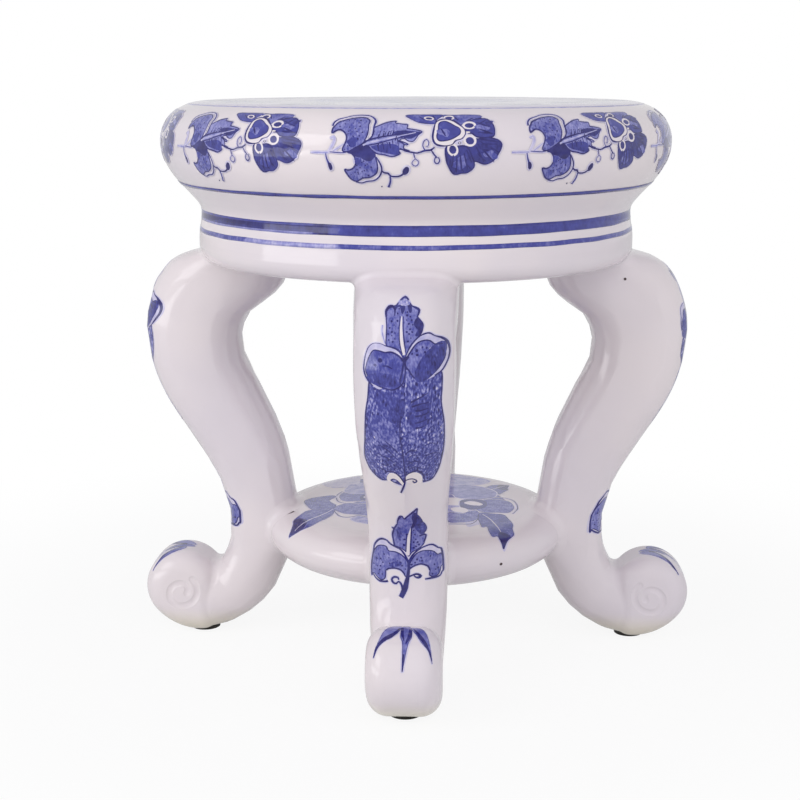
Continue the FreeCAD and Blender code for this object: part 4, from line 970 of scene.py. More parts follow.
KNEE_LEAF = (
    wash(0.6, 0.68, 1.0, (-13.4, 162.2, -7.9, 164.8, -1.7, 166.0, 4.5, 165.9, 12.2, 164.1, 16.5, 164.3,
        16.8, 157.1, 16.5, 151.2, 17.6, 141.6, 17.6, 131.5, 16.4, 123.2, 14.6, 117.1, 12.2, 113.2, 9.2,
        112.2, 6.6, 113.7, 4.4, 113.1, 0.8, 114.1, 0.1, 111.7, -3.6, 114.0, -7.5, 112.8, -10.5, 113.0,
        -14.1, 116.4, -16.4, 120.4, -17.3, 125.1, -16.7, 133.3, -16.0, 144.9, -14.9, 152.1)),
    pool(0.55, -8.8, 138.2, 7.8, 5.3, -54),
    pool(0.69, -5.5, 148.8, 8.1, 4.2, -63),
    pool(0.7, 7.2, 146.6, 7.5, 4.6, 75),
    *strokes(0.98, (0.86, 0.61, 0.25),
        (3.6, 151.4, 7.4, 153.3, 10.9, 155.4), (4.1, 149.4, 7.9, 150.6, 11.3, 151.2),
        (5.6, 147.5, 8.3, 147.8, 11.2, 148.7), (5.5, 145.0, 8.6, 145.5, 11.4, 146.9),
        (5.4, 141.8, 8.2, 142.6, 10.9, 143.8), (5.6, 139.6, 8.1, 139.9, 10.2, 141.1)),
    *strokes(0.9, (0.49, 0.55, 0.18),
        (-10.2, 130.9, -6.4, 128.2, -2.2, 123.5), (-7.8, 133.3, -4.7, 130.1, -1.0, 125.8),
        (-11.3, 126.6, -6.9, 124.4, -2.7, 121.1), (-9.7, 121.0, -6.2, 120.2, -2.1, 118.4),
        (1.6, 127.4, 3.7, 128.9, 6.4, 128.4), (1.6, 124.7, 4.3, 126.2, 6.9, 126.1),
        (1.6, 121.6, 4.8, 123.1, 7.9, 122.3), (2.1, 118.9, 5.2, 120.0, 8.6, 119.1),
        (9.8, 135.9, 11.7, 139.2, 13.9, 140.7), (9.4, 130.9, 12.4, 132.0, 14.7, 130.8),
        (9.8, 125.6, 12.5, 126.8, 15.4, 126.5)),
    stroke(0.93, (0.98, 0.8, 0.55, 0.55, 0.49), (0.3, 153.1, -0.6, 147.1, -1.1, 136.1, 0.0, 125.9, 0.5,
        114.1)),
    wash(0.76, 0.0, 0.6, (-1.9, 151.8, 0.9, 151.8, 0.9, 146.1, -1.0, 143.0, -2.5, 146.0)),
    wash(0.76, 0.0, 0.6, (1.9, 147.1, 4.3, 146.1, 4.8, 142.3, 3.2, 141.4, 2.1, 143.7)),
    stroke(0.97, (0.37, 0.55, 0.68, 0.61, 0.55), (-17.1, 124.4, -16.1, 119.9, -14.0, 116.2, -10.5, 112.8,
        -7.5, 112.8)),
    stroke(0.97, (0.68, 0.61, 0.55, 0.43, 0.37), (8.1, 111.9, 11.8, 112.7, 14.1, 116.1, 15.7, 120.6, 17.1,
        128.0)),
    wash(0.5, 0.61, 0.25, (0.8, 195.2, 2.4, 193.7, 3.7, 191.8, 5.8, 190.8, 6.8, 189.9, 6.4, 187.6, 7.6,
        186.1, 8.8, 184.3, 8.3, 181.4, 7.1, 179.6, 4.9, 177.5, 3.1, 175.1, 1.4, 171.1, 0.5, 171.9, -1.5,
        174.1, -4.2, 175.1, -6.7, 175.8, -6.8, 179.5, -6.7, 183.6, -7.0, 187.1, -6.8, 189.7, -5.3, 191.4,
        -3.0, 191.7, -1.1, 193.9)),
    wash(0.88, 0.0, 0.3, (6.4, 187.3, 7.6, 186.0, 8.9, 184.1, 8.3, 181.4, 6.9, 179.6, 5.4, 179.9, 6.4,
        182.3, 5.1, 183.8, 5.0, 185.6)),
    wash(0.9, 0.0, 0.0, (-3.0, 191.6, 0.6, 192.0, 1.0, 190.5, -0.2, 188.5, -1.4, 191.3, -2.8, 190.4, -3.1,
        187.8, -3.6, 188.9)),
    wash(0.9, 0.0, 0.0, (2.0, 192.1, 3.7, 191.5, 3.9, 189.6, 3.0, 188.9, 2.4, 190.4)),
    pool(0.3, 0.6, 193.1, 2.6, 1.4, -2),
    stroke(0.97, (0.61, 1.1, 1.29, 1.1, 0.86, 0.37), (-7.0, 187.1, -7.1, 189.4, -5.9, 191.1, -4.3, 191.4,
        -3.3, 190.1, -3.4, 187.8)),
    stroke(0.9, (0.55, 0.8, 0.74), (-1.1, 193.8, 0.8, 195.2, 2.4, 193.9)),
    stroke(0.96, (0.43, 0.98, 1.1, 0.49), (3.7, 191.7, 5.8, 190.8, 7.0, 189.9, 6.6, 187.9)),
    stroke(0.35, (0.43, 0.43, 0.43, 0.43), (-8.5, 184.0, -8.6, 181.2, -7.7, 177.9, -7.2, 176.5)),
    stroke(0.03, (0.31, 0.92, 1.35, 1.72, 0.92), (-0.3, 187.6, -0.5, 183.8, -0.3, 178.5, 0.3, 174.0, 0.9,
        172.0)),
    stroke(0.95, (0.43, 0.43, 0.49, 0.43), (-1.0, 187.6, -1.3, 182.6, -1.0, 176.9, 0.1, 172.3)),
    stroke(0.95, (0.43, 0.49, 0.55, 0.37), (0.4, 187.6, 0.4, 182.6, 0.9, 177.6, 1.5, 173.1)),
    dots(0.95, 0.46, (-1.5, 190.6, -2.1, 188.7, 2.0, 189.3, 1.9, 188.0, 3.3, 187.5, 1.8, 186.2, 3.9,
        186.2, 2.7, 184.7, 4.4, 184.3, -4.6, 185.6, -2.1, 185.8, -3.5, 184.1, -5.4, 182.9, -4.4, 181.3,
        -3.1, 180.9, -4.4, 179.8, -6.0, 180.4, -5.7, 178.0, -3.1, 178.5, -4.0, 177.3, 3.3, 182.5, 1.9,
        181.4, 4.2, 181.4, 2.9, 180.6, 3.7, 178.9, 2.4, 177.5)),
    wash(0.18, 0.0, 0.0, KNEE_LEFT_LOBE + (-12.2, 158.1, -9.0, 157.1, -6.1, 161.1, -1.7, 164.4)),
    stroke(0.9, (0.8, 0.74, 0.68, 0.43, 0.25, 0.25, 0.37, 0.49, 0.74, 0.74, 0.68, 0.61), KNEE_LEFT_LOBE + (
        -12.5, 158.2)),
    wash(0.58, 0.68, 0.3, (1.0, 169.1, -1.3, 171.4, -4.3, 172.9, -7.1, 172.8, -9.8, 173.4, -12.1, 173.5,
        -13.9, 171.2, -15.3, 167.3, -15.6, 164.4, -14.1, 161.6, -11.2, 159.0, -7.4, 157.5, -3.6, 157.0,
        0.2, 159.7, 1.4, 164.4)),
    pool(0.7, -7.6, 161.1, 7.7, 3.0, -4),
    stroke(0.97, (0.61, 0.74, 0.86, 0.98), (-7.1, 172.8, -4.3, 173.0, -1.3, 171.5, 0.9, 169.3)),
    wash(0.95, 0.0, 0.0, (-10.0, 170.3, -8.8, 170.4, -8.3, 169.0, -9.6, 168.5, -10.4, 169.4)),
    dots(0.95, 0.64, (-11.5, 167.4)),
    stroke(0.9, (0.43, 0.8, 0.37), (-8.4, 167.1, -6.3, 167.1, -4.0, 166.0)),
    wash(0.18, 0.0, 0.0, KNEE_RIGHT_LOBE + (13.1, 162.4, 7.6, 161.5, 2.1, 167.5)),
    stroke(0.93, (0.61, 0.49, 0.49, 0.49, 0.68, 0.68, 0.43, 0.98, 1.1, 0.86, 0.74, 0.74, 0.68, 0.61),
        KNEE_RIGHT_LOBE + (13.7, 162.9)),
    wash(0.52, 0.68, 0.3, (1.7, 170.0, 3.6, 173.3, 6.2, 176.6, 9.4, 177.9, 11.8, 177.6, 13.8, 176.1, 16.8,
        176.0, 18.0, 173.8, 18.2, 170.8, 16.5, 167.5, 14.5, 165.0, 11.6, 162.6, 8.2, 161.1, 5.1, 162.4,
        3.0, 165.4, 1.5, 167.6)),
    pool(0.78, 12.1, 168.7, 10.0, 4.2, 54),
    stroke(0.97, (0.74, 0.61, 0.61, 0.61, 0.55, 0.49, 0.49), (1.7, 170.0, 3.6, 173.3, 6.2, 176.6, 9.4,
        177.9, 11.8, 177.6, 13.8, 176.1, 17.1, 176.0)),
    dots(0.97, 0.6, (8.6, 175.0, 10.4, 174.8, 6.2, 173.7, 4.3, 172.4, 6.4, 171.9, 9.7, 173.0)),
    wash(0.98, 0.0, 0.0, (-1.3, 171.4, 0.5, 170.6, 2.7, 171.8, 3.2, 171.1, 1.3, 169.1, 0.1, 169.4)),
    stroke(0.93, (0.74, 0.8, 0.61, 0.49), (0.7, 169.1, 0.2, 165.1, -0.8, 160.3, 1.1, 158.1)),
    wash(0.0, 0.0, 0.0, (-7.5, 114.7, -6.0, 116.7, -3.4, 116.0, -1.4, 113.9, 0.1, 110.7, -1.8, 110.3,
        -5.8, 111.3, -7.5, 112.7)),
    stroke(0.97, (0.55, 0.68, 0.74, 0.74), (-8.3, 116.9, -5.2, 117.5, -2.3, 115.4, 0.0, 111.6)),
    wash(0.85, 0.0, 0.0, (-6.2, 112.8, -4.8, 113.7, -2.8, 112.6, -0.9, 110.0, -1.7, 110.1, -4.7, 111.4)),
    wash(0.3, 0.0, 0.0, (-5.4, 112.7, -4.5, 113.1, -3.3, 112.3, -4.1, 111.8)),
    wash(0.0, 0.0, 0.0, (0.8, 114.6, 2.4, 116.5, 5.2, 117.2, 7.4, 116.0, 8.1, 113.6, 7.3, 111.5, 3.8,
        110.4, 0.9, 112.5)),
    stroke(0.97, (0.61, 0.68, 0.68, 0.61, 0.49), (0.5, 115.7, 3.5, 117.3, 6.3, 118.0, 8.4, 115.7, 9.0,
        112.4)),
    stroke(0.95, (0.55, 0.55, 0.61, 0.8, 0.92, 0.49), (0.6, 112.8, 2.5, 113.6, 4.3, 113.6, 5.6, 112.5,
        4.4, 111.6, 3.8, 112.7)),
    stroke(0.98, (0.55, 0.8, 0.98, 0.8), (0.5, 114.9, 0.3, 111.7, -0.6, 108.6, -1.7, 105.8)),
)

ANKLE_LEFT_LOBE = (0.7, 68.0, -0.8, 71.4, -2.7, 74.3, -5.2, 75.8, -7.5, 77.3, -9.1, 79.0, -11.3, 79.4,
    -13.4, 78.1, -15.2, 75.2, -16.0, 72.6, -19.5, 65.4, -20.8, 62.6, -20.4, 59.0, -17.5, 60.1, -15.1, 58.9)
ANKLE_RIGHT_LOBE = (0.9, 67.8, 2.3, 70.8, 4.4, 73.4, 7.3, 75.6, 10.1, 76.7, 12.2, 76.4, 14.3, 74.5, 16.6,
    73.1, 18.6, 67.7, 19.7, 62.8, 18.6, 61.7, 17.4, 61.7, 15.6, 60.1, 13.6, 59.8, 10.7, 59.6)

ANKLE_LEAF = (
    wash(0.5, 0.61, 0.25, (5.3, 97.1, 3.4, 95.1, 1.3, 93.1, -0.7, 91.1, -1.5, 92.6, -2.8, 92.7, -3.7,
        90.6, -4.1, 88.0, -4.9, 86.2, -6.6, 86.3, -5.8, 85.3, -6.3, 82.6, -6.0, 79.6, -5.7, 76.6, -3.7,
        75.7, -0.8, 73.7, 0.8, 70.9, 2.5, 73.0, 5.5, 75.0, 7.8, 77.4, 8.4, 79.7, 9.0, 82.2, 7.3, 83.0,
        8.7, 84.2, 9.2, 86.3, 8.1, 88.9, 6.1, 90.2, 5.1, 93.9)),
    pool(0.84, 5.7, 88.4, 6.4, 2.4, -72),
    pool(0.72, 7.8, 86.8, 2.2, 1.1, -76),
    pool(0.72, -3.2, 82.9, 3.9, 1.1, -85),
    wash(0.97, 0.0, 0.0, (-4.0, 90.4, -2.8, 92.7, -1.5, 92.6, -2.6, 91.4, -3.4, 89.8, -4.2, 88.6)),
    stroke(0.95, (0.52, 1.04, 0.85, 0.77), (5.3, 97.1, 3.4, 95.1, 1.3, 93.1, -0.7, 91.1)),
    stroke(0.9, (0.85, 0.85, 0.85, 0.85, 0.69), (-5.6, 76.6, -6.0, 79.6, -6.3, 82.6, -5.3, 85.9, -4.2,
        88.0)),
    stroke(0.97, (1.2, 1.37, 1.54, 0.85), (4.1, 94.7, 4.3, 91.5, 3.5, 87.9, 2.5, 86.0)),
    stroke(0.95, (0.77, 0.85, 0.69), (5.9, 81.6, 8.9, 82.3, 8.0, 78.3)),
    stroke(0.03, (0.43, 1.04, 1.54, 2.06, 2.24, 1.04), (2.3, 86.2, 1.5, 82.9, 1.0, 79.8, 0.5, 76.4, 0.4,
        73.5, 0.7, 71.3)),
    stroke(0.95, (0.69, 0.69, 0.69, 0.6), (2.5, 86.6, 2.2, 82.1, 1.9, 77.5, 1.7, 73.1)),
    stroke(0.9, (0.6, 0.6, 0.6), (0.2, 82.9, -0.1, 78.3, -0.4, 73.1)),
    dots(0.95, 0.54, (0.3, 82.5, 3.9, 82.4, 4.3, 79.8, 3.3, 78.3, 5.1, 78.3, 5.7, 77.1, 4.4, 76.1, 3.3,
        75.3, -0.9, 79.8, -1.2, 76.8, 3.4, 84.8)),
    wash(0.14, 0.0, 0.0, ANKLE_LEFT_LOBE + (-12.6, 57.5, -9.2, 58.3, -9.7, 63.3, -5.4, 64.6, -0.7, 61.0)),
    stroke(0.9, (1.04, 0.95, 0.85, 0.77, 0.85, 0.85, 1.04, 0.95, 0.85, 0.77, 0.77, 0.69, 0.69, 0.77, 0.85,
        0.95, 0.95, 1.04),
        ANKLE_LEFT_LOBE + (-12.7, 57.7, -10.1, 57.8, -8.8, 58.3)),
    wash(0.48, 0.68, 0.3, (0.6, 67.1, -0.7, 69.7, -2.8, 71.8, -5.4, 73.1, -8.3, 73.6, -9.3, 75.6, -11.1,
        76.0, -13.4, 75.2, -15.7, 71.9, -18.3, 67.2, -19.9, 61.1, -18.2, 60.3, -15.8, 60.6, -13.6, 59.2,
        -11.8, 58.3, -10.2, 59.4, -9.8, 61.6, -9.7, 63.3, -8.1, 64.5, -5.4, 64.6, -3.3, 64.0, -1.6, 62.6,
        -0.7, 60.8, 0.4, 61.5)),
    pool(0.72, -5.2, 66.6, 3.1, 1.4, 14),
    dots(0.93, 0.46, (-10.5, 71.4, -14.0, 68.5, -12.2, 68.7, -11.2, 66.9, -16.2, 65.2, -13.8, 64.7, -12.3,
        65.0, -15.2, 62.8, -12.7, 63.1, -8.3, 69.8, -4.2, 68.5, -2.8, 67.6, -8.0, 66.9, -2.2, 66.0, -0.6,
        64.3, -13.2, 61.1, -11.5, 61.2, -4.1, 66.4, -6.1, 69.2)),
    wash(0.14, 0.0, 0.0, ANKLE_RIGHT_LOBE + (10.2, 63.8, 6.8, 66.8, 2.0, 65.2)),
    stroke(0.9, (1.04, 0.95, 0.85, 0.77, 0.85, 0.95, 0.77, 0.85, 1.04, 0.95, 0.85, 0.77, 0.85, 0.95, 1.04,
        0.52),
        ANKLE_RIGHT_LOBE + (8.3, 59.5)),
    wash(0.5, 0.68, 0.3, (1.0, 65.0, 1.7, 67.9, 3.3, 70.8, 5.1, 72.7, 7.6, 73.8, 10.4, 73.7, 12.4, 72.8,
        14.1, 70.9, 15.7, 71.1, 17.6, 69.5, 18.2, 65.0, 16.2, 64.3, 15.3, 62.0, 14.0, 60.6, 11.4, 60.4,
        10.4, 61.4, 10.6, 63.8, 9.5, 65.9, 6.8, 66.7, 4.0, 66.1, 2.0, 65.1)),
    dots(0.95, 0.54, (10.8, 70.7, 6.6, 70.1, 4.7, 69.2, 3.8, 67.6, 2.2, 66.6, 7.0, 68.5, 12.7, 66.0, 13.2,
        63.6, 11.7, 61.6, 14.3, 64.1)),
    stroke(0.95, (0.77, 0.77, 0.85, 0.85, 0.69), (0.8, 63.8, 2.7, 65.5, 6.1, 66.8, 9.4, 65.8, 10.5, 63.5)),
    stroke(0.95, (0.69, 0.77, 0.85, 0.85, 0.77), (-9.2, 63.4, -8.5, 64.3, -5.4, 64.6, -2.7, 63.7, -1.0,
        61.7)),
    stroke(0.92, (0.69, 0.95, 1.12, 1.04, 1.04, 0.95, 0.85, 1.04, 1.2), (-3.8, 58.9, -4.2, 60.1, -6.0,
        60.3, -7.0, 59.2, -6.3, 57.6, -4.9, 57.2, -3.8, 58.2, -2.5, 56.7, -1.9, 54.2)),
    stroke(0.97, (0.85, 0.85, 1.04, 1.29, 1.2, 0.85, 0.6), (0.7, 60.5, 2.5, 61.3, 4.5, 61.9, 6.5, 61.1,
        5.3, 60.2, 4.1, 60.4, 3.3, 61.1)),
    stroke(0.92, (1.04, 1.2, 1.54, 2.06, 2.74, 2.58, 2.24), (0.6, 68.7, 0.9, 65.2, 0.6, 61.7, 0.0, 58.7,
        -0.7, 55.6, -1.7, 52.9, -2.8, 50.7)),
)

FOOT_BLADES = (
    wash(0.45, 0.3, 0.1, (-14.5, 12.7, -13.0, 17.0, -10.5, 23.4, -8.3, 29.0, -5.2, 34.0, -2.0, 35.5, -0.6,
        32.0, -1.2, 29.8, -2.5, 27.0, -5.2, 23.0, -9.6, 20.0, -12.3, 17.0)),
    stroke(0.93, (0.7, 1.9, 2.3, 1.9, 1.0), (-14.3, 12.9, -11.8, 18.4, -7.6, 22.6, -3.6, 26.4, -1.8, 31.0)),
    wash(0.5, 0.3, 0.1, (-1.2, 29.8, -1.2, 23.4, -0.3, 20.0, -0.1, 14.3, 0.0, 6.4, 1.2, 13.0, 2.5, 20.0,
        3.7, 23.4, 3.4, 29.8, 1.6, 35.0, -0.4, 35.0)),
    stroke(0.9, (1.0, 1.9, 1.4, 0.4), (2.9, 30.5, 2.9, 24.6, 2.0, 21.6, 1.2, 19.5)),
    stroke(0.9, (0.9, 1.3, 0.8, 0.3), (-0.6, 31.0, -0.5, 25.4, 0.1, 22.4, 0.4, 21.0)),
    stroke(0.92, (0.9, 0.9, 0.5), (0.4, 14.3, 0.2, 10.4, 0.0, 6.5)),
    wash(0.5, 0.3, 0.1, (3.4, 31.5, 7.1, 31.0, 10.2, 26.6, 12.7, 19.3, 14.6, 10.5, 11.7, 16.3, 8.3, 20.0,
        5.6, 25.2, 3.7, 29.0)),
    stroke(0.92, (0.6, 1.7, 1.9, 1.0, 0.5), (4.3, 30.2, 7.2, 24.4, 10.2, 19.6, 12.8, 15.4, 14.5, 11.0)),
)

SHELF_FLOWER = (
    wash(0.16, 0.0, 0.15, (-53.0, 35.8, -50.3, 46.1, -41.2, 50.7, -34.1, 55.2, -32.4, 32.7, -36.5, 32.9,
        -39.1, 26.6, -45.2, 24.9, -50.3, 29.5)),
    wash(0.3, 0.0, 0.15, (-38.7, 16.3, -38.1, 26.5, -36.5, 32.9, -32.4, 33.8, -10.7, 43.6, -9.2, 15.7,
        -30.7, 11.9, -34.8, 12.1)),
    wash(0.3, 0.0, 0.15, (7.1, 45.0, 17.6, 58.1, 24.9, 54.3, 30.9, 51.1, 35.7, 48.0, 38.6, 42.1, 33.3,
        35.0, 25.1, 32.7, 18.1, 32.0, 8.8, 31.2)),
    wash(0.42, 0.0, 0.15, (7.7, 27.4, 18.1, 30.7, 25.1, 32.7, 33.4, 30.1, 39.2, 23.9, 42.0, 17.4, 40.3,
        8.3, 34.0, 4.2, 25.5, 4.2, 20.9, 5.9, 18.0, 12.1, 9.5, 9.3)),
    wash(0.55, 0.42, 0.25, (-61.1, -43.3, -58.1, -44.4, -54.8, -44.0, -50.2, -42.8, -46.4, -37.8, -43.5,
        -33.1, -40.9, -25.2, -41.0, -13.4, -45.3, -14.9, -50.1, -16.3, -54.7, -19.4, -57.8, -26.4, -60.1,
        -31.3, -59.9, -35.5, -60.5, -40.4)),
    wash(0.92, 0.0, 0.0, (-60.7, -43.1, -60.4, -41.2, -59.9, -35.5, -60.1, -31.3, -56.8, -30.8, -53.0,
        -34.9, -54.0, -42.9, -57.7, -44.4)),
    stroke(0.1, (0.34, 0.68, 0.54, 0.34), (-58.4, -42.3, -54.6, -37.7, -49.5, -31.3, -44.5, -23.4, -41.7,
        -16.8)),
    wash(0.55, 0.39, 0.3, (-58.2, -1.5, -55.3, 3.9, -49.6, 7.2, -44.6, 8.8, -42.3, 5.8, -45.2, -0.6,
        -43.2, -6.2, -40.9, -9.9, -41.9, -15.1, -47.5, -17.3, -52.5, -17.0, -55.7, -10.7)),
    wash(0.5, 0.39, 0.3, (-41.4, -15.1, -38.9, -10.0, -34.2, -6.7, -29.1, -8.6, -21.3, -7.0, -15.9, -14.0,
        -16.2, -24.2, -22.1, -29.0, -27.6, -27.3, -30.6, -26.4, -34.5, -25.5, -38.3, -22.0, -40.5, -18.5)),
    stroke(0.9, (0.54, 0.74, 0.74, 0.61), (-40.9, -20.2, -37.7, -28.6, -34.0, -31.6, -30.2, -30.5, -27.5,
        -28.9, -21.9, -31.9, -14.8, -30.6)),
    wash(0.52, 0.42, 0.3, (31.3, -11.5, 34.6, 1.1, 39.7, 3.9, 45.3, 3.7, 49.2, -0.9, 50.7, -10.8, 47.8,
        -18.9, 42.3, -19.7, 36.8, -20.5, 32.4, -17.2)),
    stroke(0.9, (0.47, 0.68, 0.68, 0.47), (33.4, 3.5, 39.7, 8.2, 45.9, 8.1, 51.0, 2.5, 52.7, -10.5, 50.0,
        -20.9)),
    wash(0.5, 0.39, 0.3, (17.6, -22.5, 23.7, -23.8, 28.0, -19.6, 31.3, -17.3, 33.0, -22.8, 32.5, -30.2,
        29.3, -35.9, 23.9, -38.2, 18.0, -37.8)),
    stroke(0.9, (0.61, 0.74, 0.61, 0.41), (18.1, -41.2, 24.0, -40.8, 28.8, -40.3, 31.4, -35.7, 33.0, -28.3)),
    wash(0.8, 0.0, 0.0, (23.3, -0.2, 28.9, 3.5, 35.7, 1.2, 36.8, -8.8, 32.4, -15.3, 28.0, -16.2, 23.5,
        -12.4)),
    wash(0.03, 0.0, 0.0, (25.1, -4.2, 27.8, -0.8, 31.2, -1.4, 34.6, -5.1, 33.5, -8.3, 28.5, -7.9)),
    wash(0.03, 0.0, 0.0, (18.5, -14.8, 22.4, -12.5, 25.7, -14.1, 27.5, -17.8, 25.3, -21.8, 20.3, -20.4)),
    wash(0.6, 0.42, 0.25, (33.0, -22.8, 35.2, -20.7, 39.6, -22.0, 45.1, -23.1, 47.7, -30.1, 49.7, -38.1,
        49.4, -43.4, 50.1, -48.1, 49.0, -50.9, 46.9, -54.6, 45.0, -59.6, 43.9, -57.4, 42.1, -53.8, 39.5,
        -54.8, 37.9, -49.8, 36.8, -43.7, 34.7, -44.8, 33.3, -37.2, 32.5, -30.2)),
    wash(0.93, 0.0, 0.0, (43.2, -49.3, 47.4, -49.6, 48.5, -51.5, 46.6, -54.7, 45.0, -59.6, 43.9, -57.4,
        42.4, -54.1)),
    stroke(0.06, (0.27, 0.61, 0.54, 0.27), (34.6, -23.5, 38.5, -31.3, 41.1, -39.8, 43.7, -49.1)),
    dots(0.95, 0.35, (36.8, -8.8, 40.2, -6.4, 43.5, -6.9, 46.9, -8.4, 39.6, -14.4, 44.0, -14.7, 21.6,
        -29.5, 24.9, -31.9, 28.1, -28.9, 30.8, -24.9)),
    dots(0.95, 0.35, (-54.2, -5.4, -50.9, -3.8, -47.5, -3.2, -49.7, -11.1, -37.2, -17.0, -33.4, -15.5,
        -29.3, -18.2, -25.4, -17.4, -20.4, -19.2)),
)


class STOOL_OT_finishes(bpy.types.Operator):
    """Makes the glaze, rubber and adhesive and gives them to the stool's own parts"""
    bl_idname = "stool.finishes"
    bl_label = "Glaze the stool"

    def execute(self, context):
        glaze_group()
        porcelain = glazed_porcelain(context.scene.stool_glaze)
        underglaze_cobalt(context.scene.stool_cobalt, context.scene.stool_glaze)
        rubber = pad_rubber(context.scene.stool_pads)
        adhesive = pad_adhesive(context.scene.stool_pads)
        wanted = {name: porcelain for name in PORCELAIN_NODES}
        for side in SIDES:
            wanted["foot_pad_" + side] = rubber
            wanted["pad_adhesive_" + side] = adhesive
        for name, material in wanted.items():
            for slot in nodes[name].material_slots:
                slot.material = material
        return {"FINISHED"}


def paint_with(piece):
    dress(piece, bpy.data.materials["Underglaze cobalt"])


class STOOL_OT_rim_sprays(bpy.types.Operator):
    """Paints one flower spray on the rim and repeats it nine times round the seat"""
    bl_idname = "stool.rim_sprays"
    bl_label = "Paint the rim sprays"

    def execute(self, context):
        outline = rim_profile()
        sheet = Sheet(1.5, seed=11)
        sheet.draw(RIM_SPRAY)

        def on_the_rim(across, down):
            reach, height = walk_down(outline, down)
            return round_the_stool(reach, height, across / RIM_RADIUS)

        model = film("rim_spray_1", sheet, on_the_rim)
        chance = random.Random(4)
        start = math.radians(RIM_START)
        others = [turned_copy(model, "rim_spray_%d" % (count + 1),
                              start + math.radians(360.0 / RIM_SPRAYS * count
                                                   + chance.uniform(-RIM_SLIP, RIM_SLIP)))
                  for count in range(1, RIM_SPRAYS)]
        select_only(model)
        model.rotation_euler = (0.0, 0.0, start)
        bpy.ops.object.transform_apply(location=False, rotation=True, scale=False)
        for piece in [model] + others:
            lay_on(piece, "seat_top", context.scene.stool_cobalt.lift)
        return {"FINISHED"}


class STOOL_OT_bands(bpy.types.Operator):
    """Paints the lines and the broad band that run round the seat and the apron"""
    bl_idname = "stool.bands"
    bl_label = "Paint the lines"

    def execute(self, context):
        lift = context.scene.stool_cobalt.lift
        seat = host_tree("seat_top")
        both = host_tree("seat_top", "apron_ring")
        apron = host_tree("apron_ring")
        pieces = [
            painted_band("seat_edge_line", ((111.1, 274.4), (111.9, 274.2)), seat, lift, 1,
                         lambda angle, row: 0.3),
            painted_band("rim_lower_line", ((116.9, 237.9), (115.7, 236.5)), seat, lift, 2,
                         lambda angle, row: 0.72),
            painted_band("waist_band", ((106.8, 223.6), (106.7, 222.6), (106.6, 221.7), (106.7, 220.8),
                                        (106.8, 219.8), (106.9, 218.8)), both, lift, 3, waist_shade),
            # The apron line's paler stretch at the left of the front leg is a painted reflection of the left
            # softbox.
            painted_band("apron_line", ((107.5, 215.2), (107.6, 214.1), (107.7, 213.0)), apron, lift, 4,
                         line_tone_and_painted_glare)]
        for piece in pieces:
            paint_with(piece)
        return {"FINISHED"}


def waist_shade(angle, row):
    """Darkness of the broad band: dark over pale at the left, even at the right, a blot where they join."""
    if JOIN_LEFT < angle < JOIN_RIGHT:
        return 0.98
    if LEFT_END < angle <= JOIN_LEFT:
        return LEFT_ROWS[row]
    return 0.76 if row == 0 else 0.7


def line_tone_and_painted_glare(angle, row):
    """Darkness of the line under the broad band; it is drawn paler at the left of the front leg, a painted
    reflection of the softbox at the left.
    """
    return 0.34 if -44.0 < angle < -16.0 else 0.6


class STOOL_OT_leg_painting(bpy.types.Operator):
    """Paints the leaf forms on one leg and repeats them on the other three"""
    bl_idname = "stool.leg_painting"
    bl_label = "Paint the legs"

    def execute(self, context):
        lift = context.scene.stool_cobalt.lift
        front = self.paint("front", KNEE_LEAF, lambda point: point, 21)
        side = self.paint("right", KNEE_LEAF, self.narrow_body, 24)
        ankle = self.paint("front", ANKLE_LEAF, self.off_the_sides, 22)
        blades = Sheet(1.0, seed=23)
        blades.draw(FOOT_BLADES)
        foot = film("foot_blades_front", blades, self.on_the_scroll)
        for model, family in ((front, "knee_leaf_"), (ankle, "ankle_leaf_"), (foot, "foot_blades_")):
            model.name = family + "front"
            source = side if model is front else model
            others = [turned_copy(source, family + name, math.radians(90.0 * count))
                      for count, name in enumerate(SIDES) if count > 0]
            for piece, (count, name) in zip([model] + others, enumerate(SIDES)):
                inward = Vector((0.0, 1.0, 0.0))
                inward.rotate(Matrix.Rotation(math.radians(90.0 * count), 3, "Z"))
                aim = None
                if model is not foot:
                    def aim(place, inward=inward):
                        return place - inward * 0.1, inward
                lay_on(piece, "leg_" + name, lift, aim)
        select_only(side)
        bpy.ops.object.delete()
        return {"FINISHED"}

    def paint(self, name, motif, carry, seed):
        """A film in front of the leg, ready to be laid on it."""
        sheet = Sheet(1.1, seed=seed)
        sheet.draw(motif, carry)
        return film("leaf_" + name, sheet,
                    lambda across, up: Vector((across, -IN_FRONT_OF_THE_LEG, up)) / 1000.0)

    def narrow_body(self, point):
        """Draws in the dotted body under the two lobes, as it is on the legs seen from the side."""
        share = min(max((point[1] - 142.0) / 12.0, 0.0), 1.0)
        return (point[0] * (0.58 + 0.4 * share), point[1])

    def off_the_sides(self, point):
        """Keeps the ankle's forms on the front of the leg."""
        free, give = 14.0, 3.2
        reach = abs(point[0])
        if reach > free:
            reach = free + give * (1.0 - math.exp((free - reach) / give))
        return (math.copysign(reach, point[0]), point[1])

    def on_the_scroll(self, across, around):
        """A point round the scroll foot's front, in metres."""
        angle = around / SCROLL_UNROLLED
        return Vector((across, -SCROLL_REACH - SCROLL_RADIUS * math.cos(angle),
                       SCROLL_HEIGHT + SCROLL_RADIUS * math.sin(angle))) / 1000.0


def iron_speck(settings):
    material, bench, shader = new_material("Iron speck")
    glazed(bench, shader, settings)
    place = bench.add("ShaderNodeTexCoord", "Place on the stool")
    rust = bench.noise("Rust in the pinhole", place.outputs["Object"], 1500.0)
    bench.link(bench.blend("Dark to rust", rust, srgb(52, 40, 46), srgb(96, 74, 76)),
               shader.inputs["Base Color"])
    return material


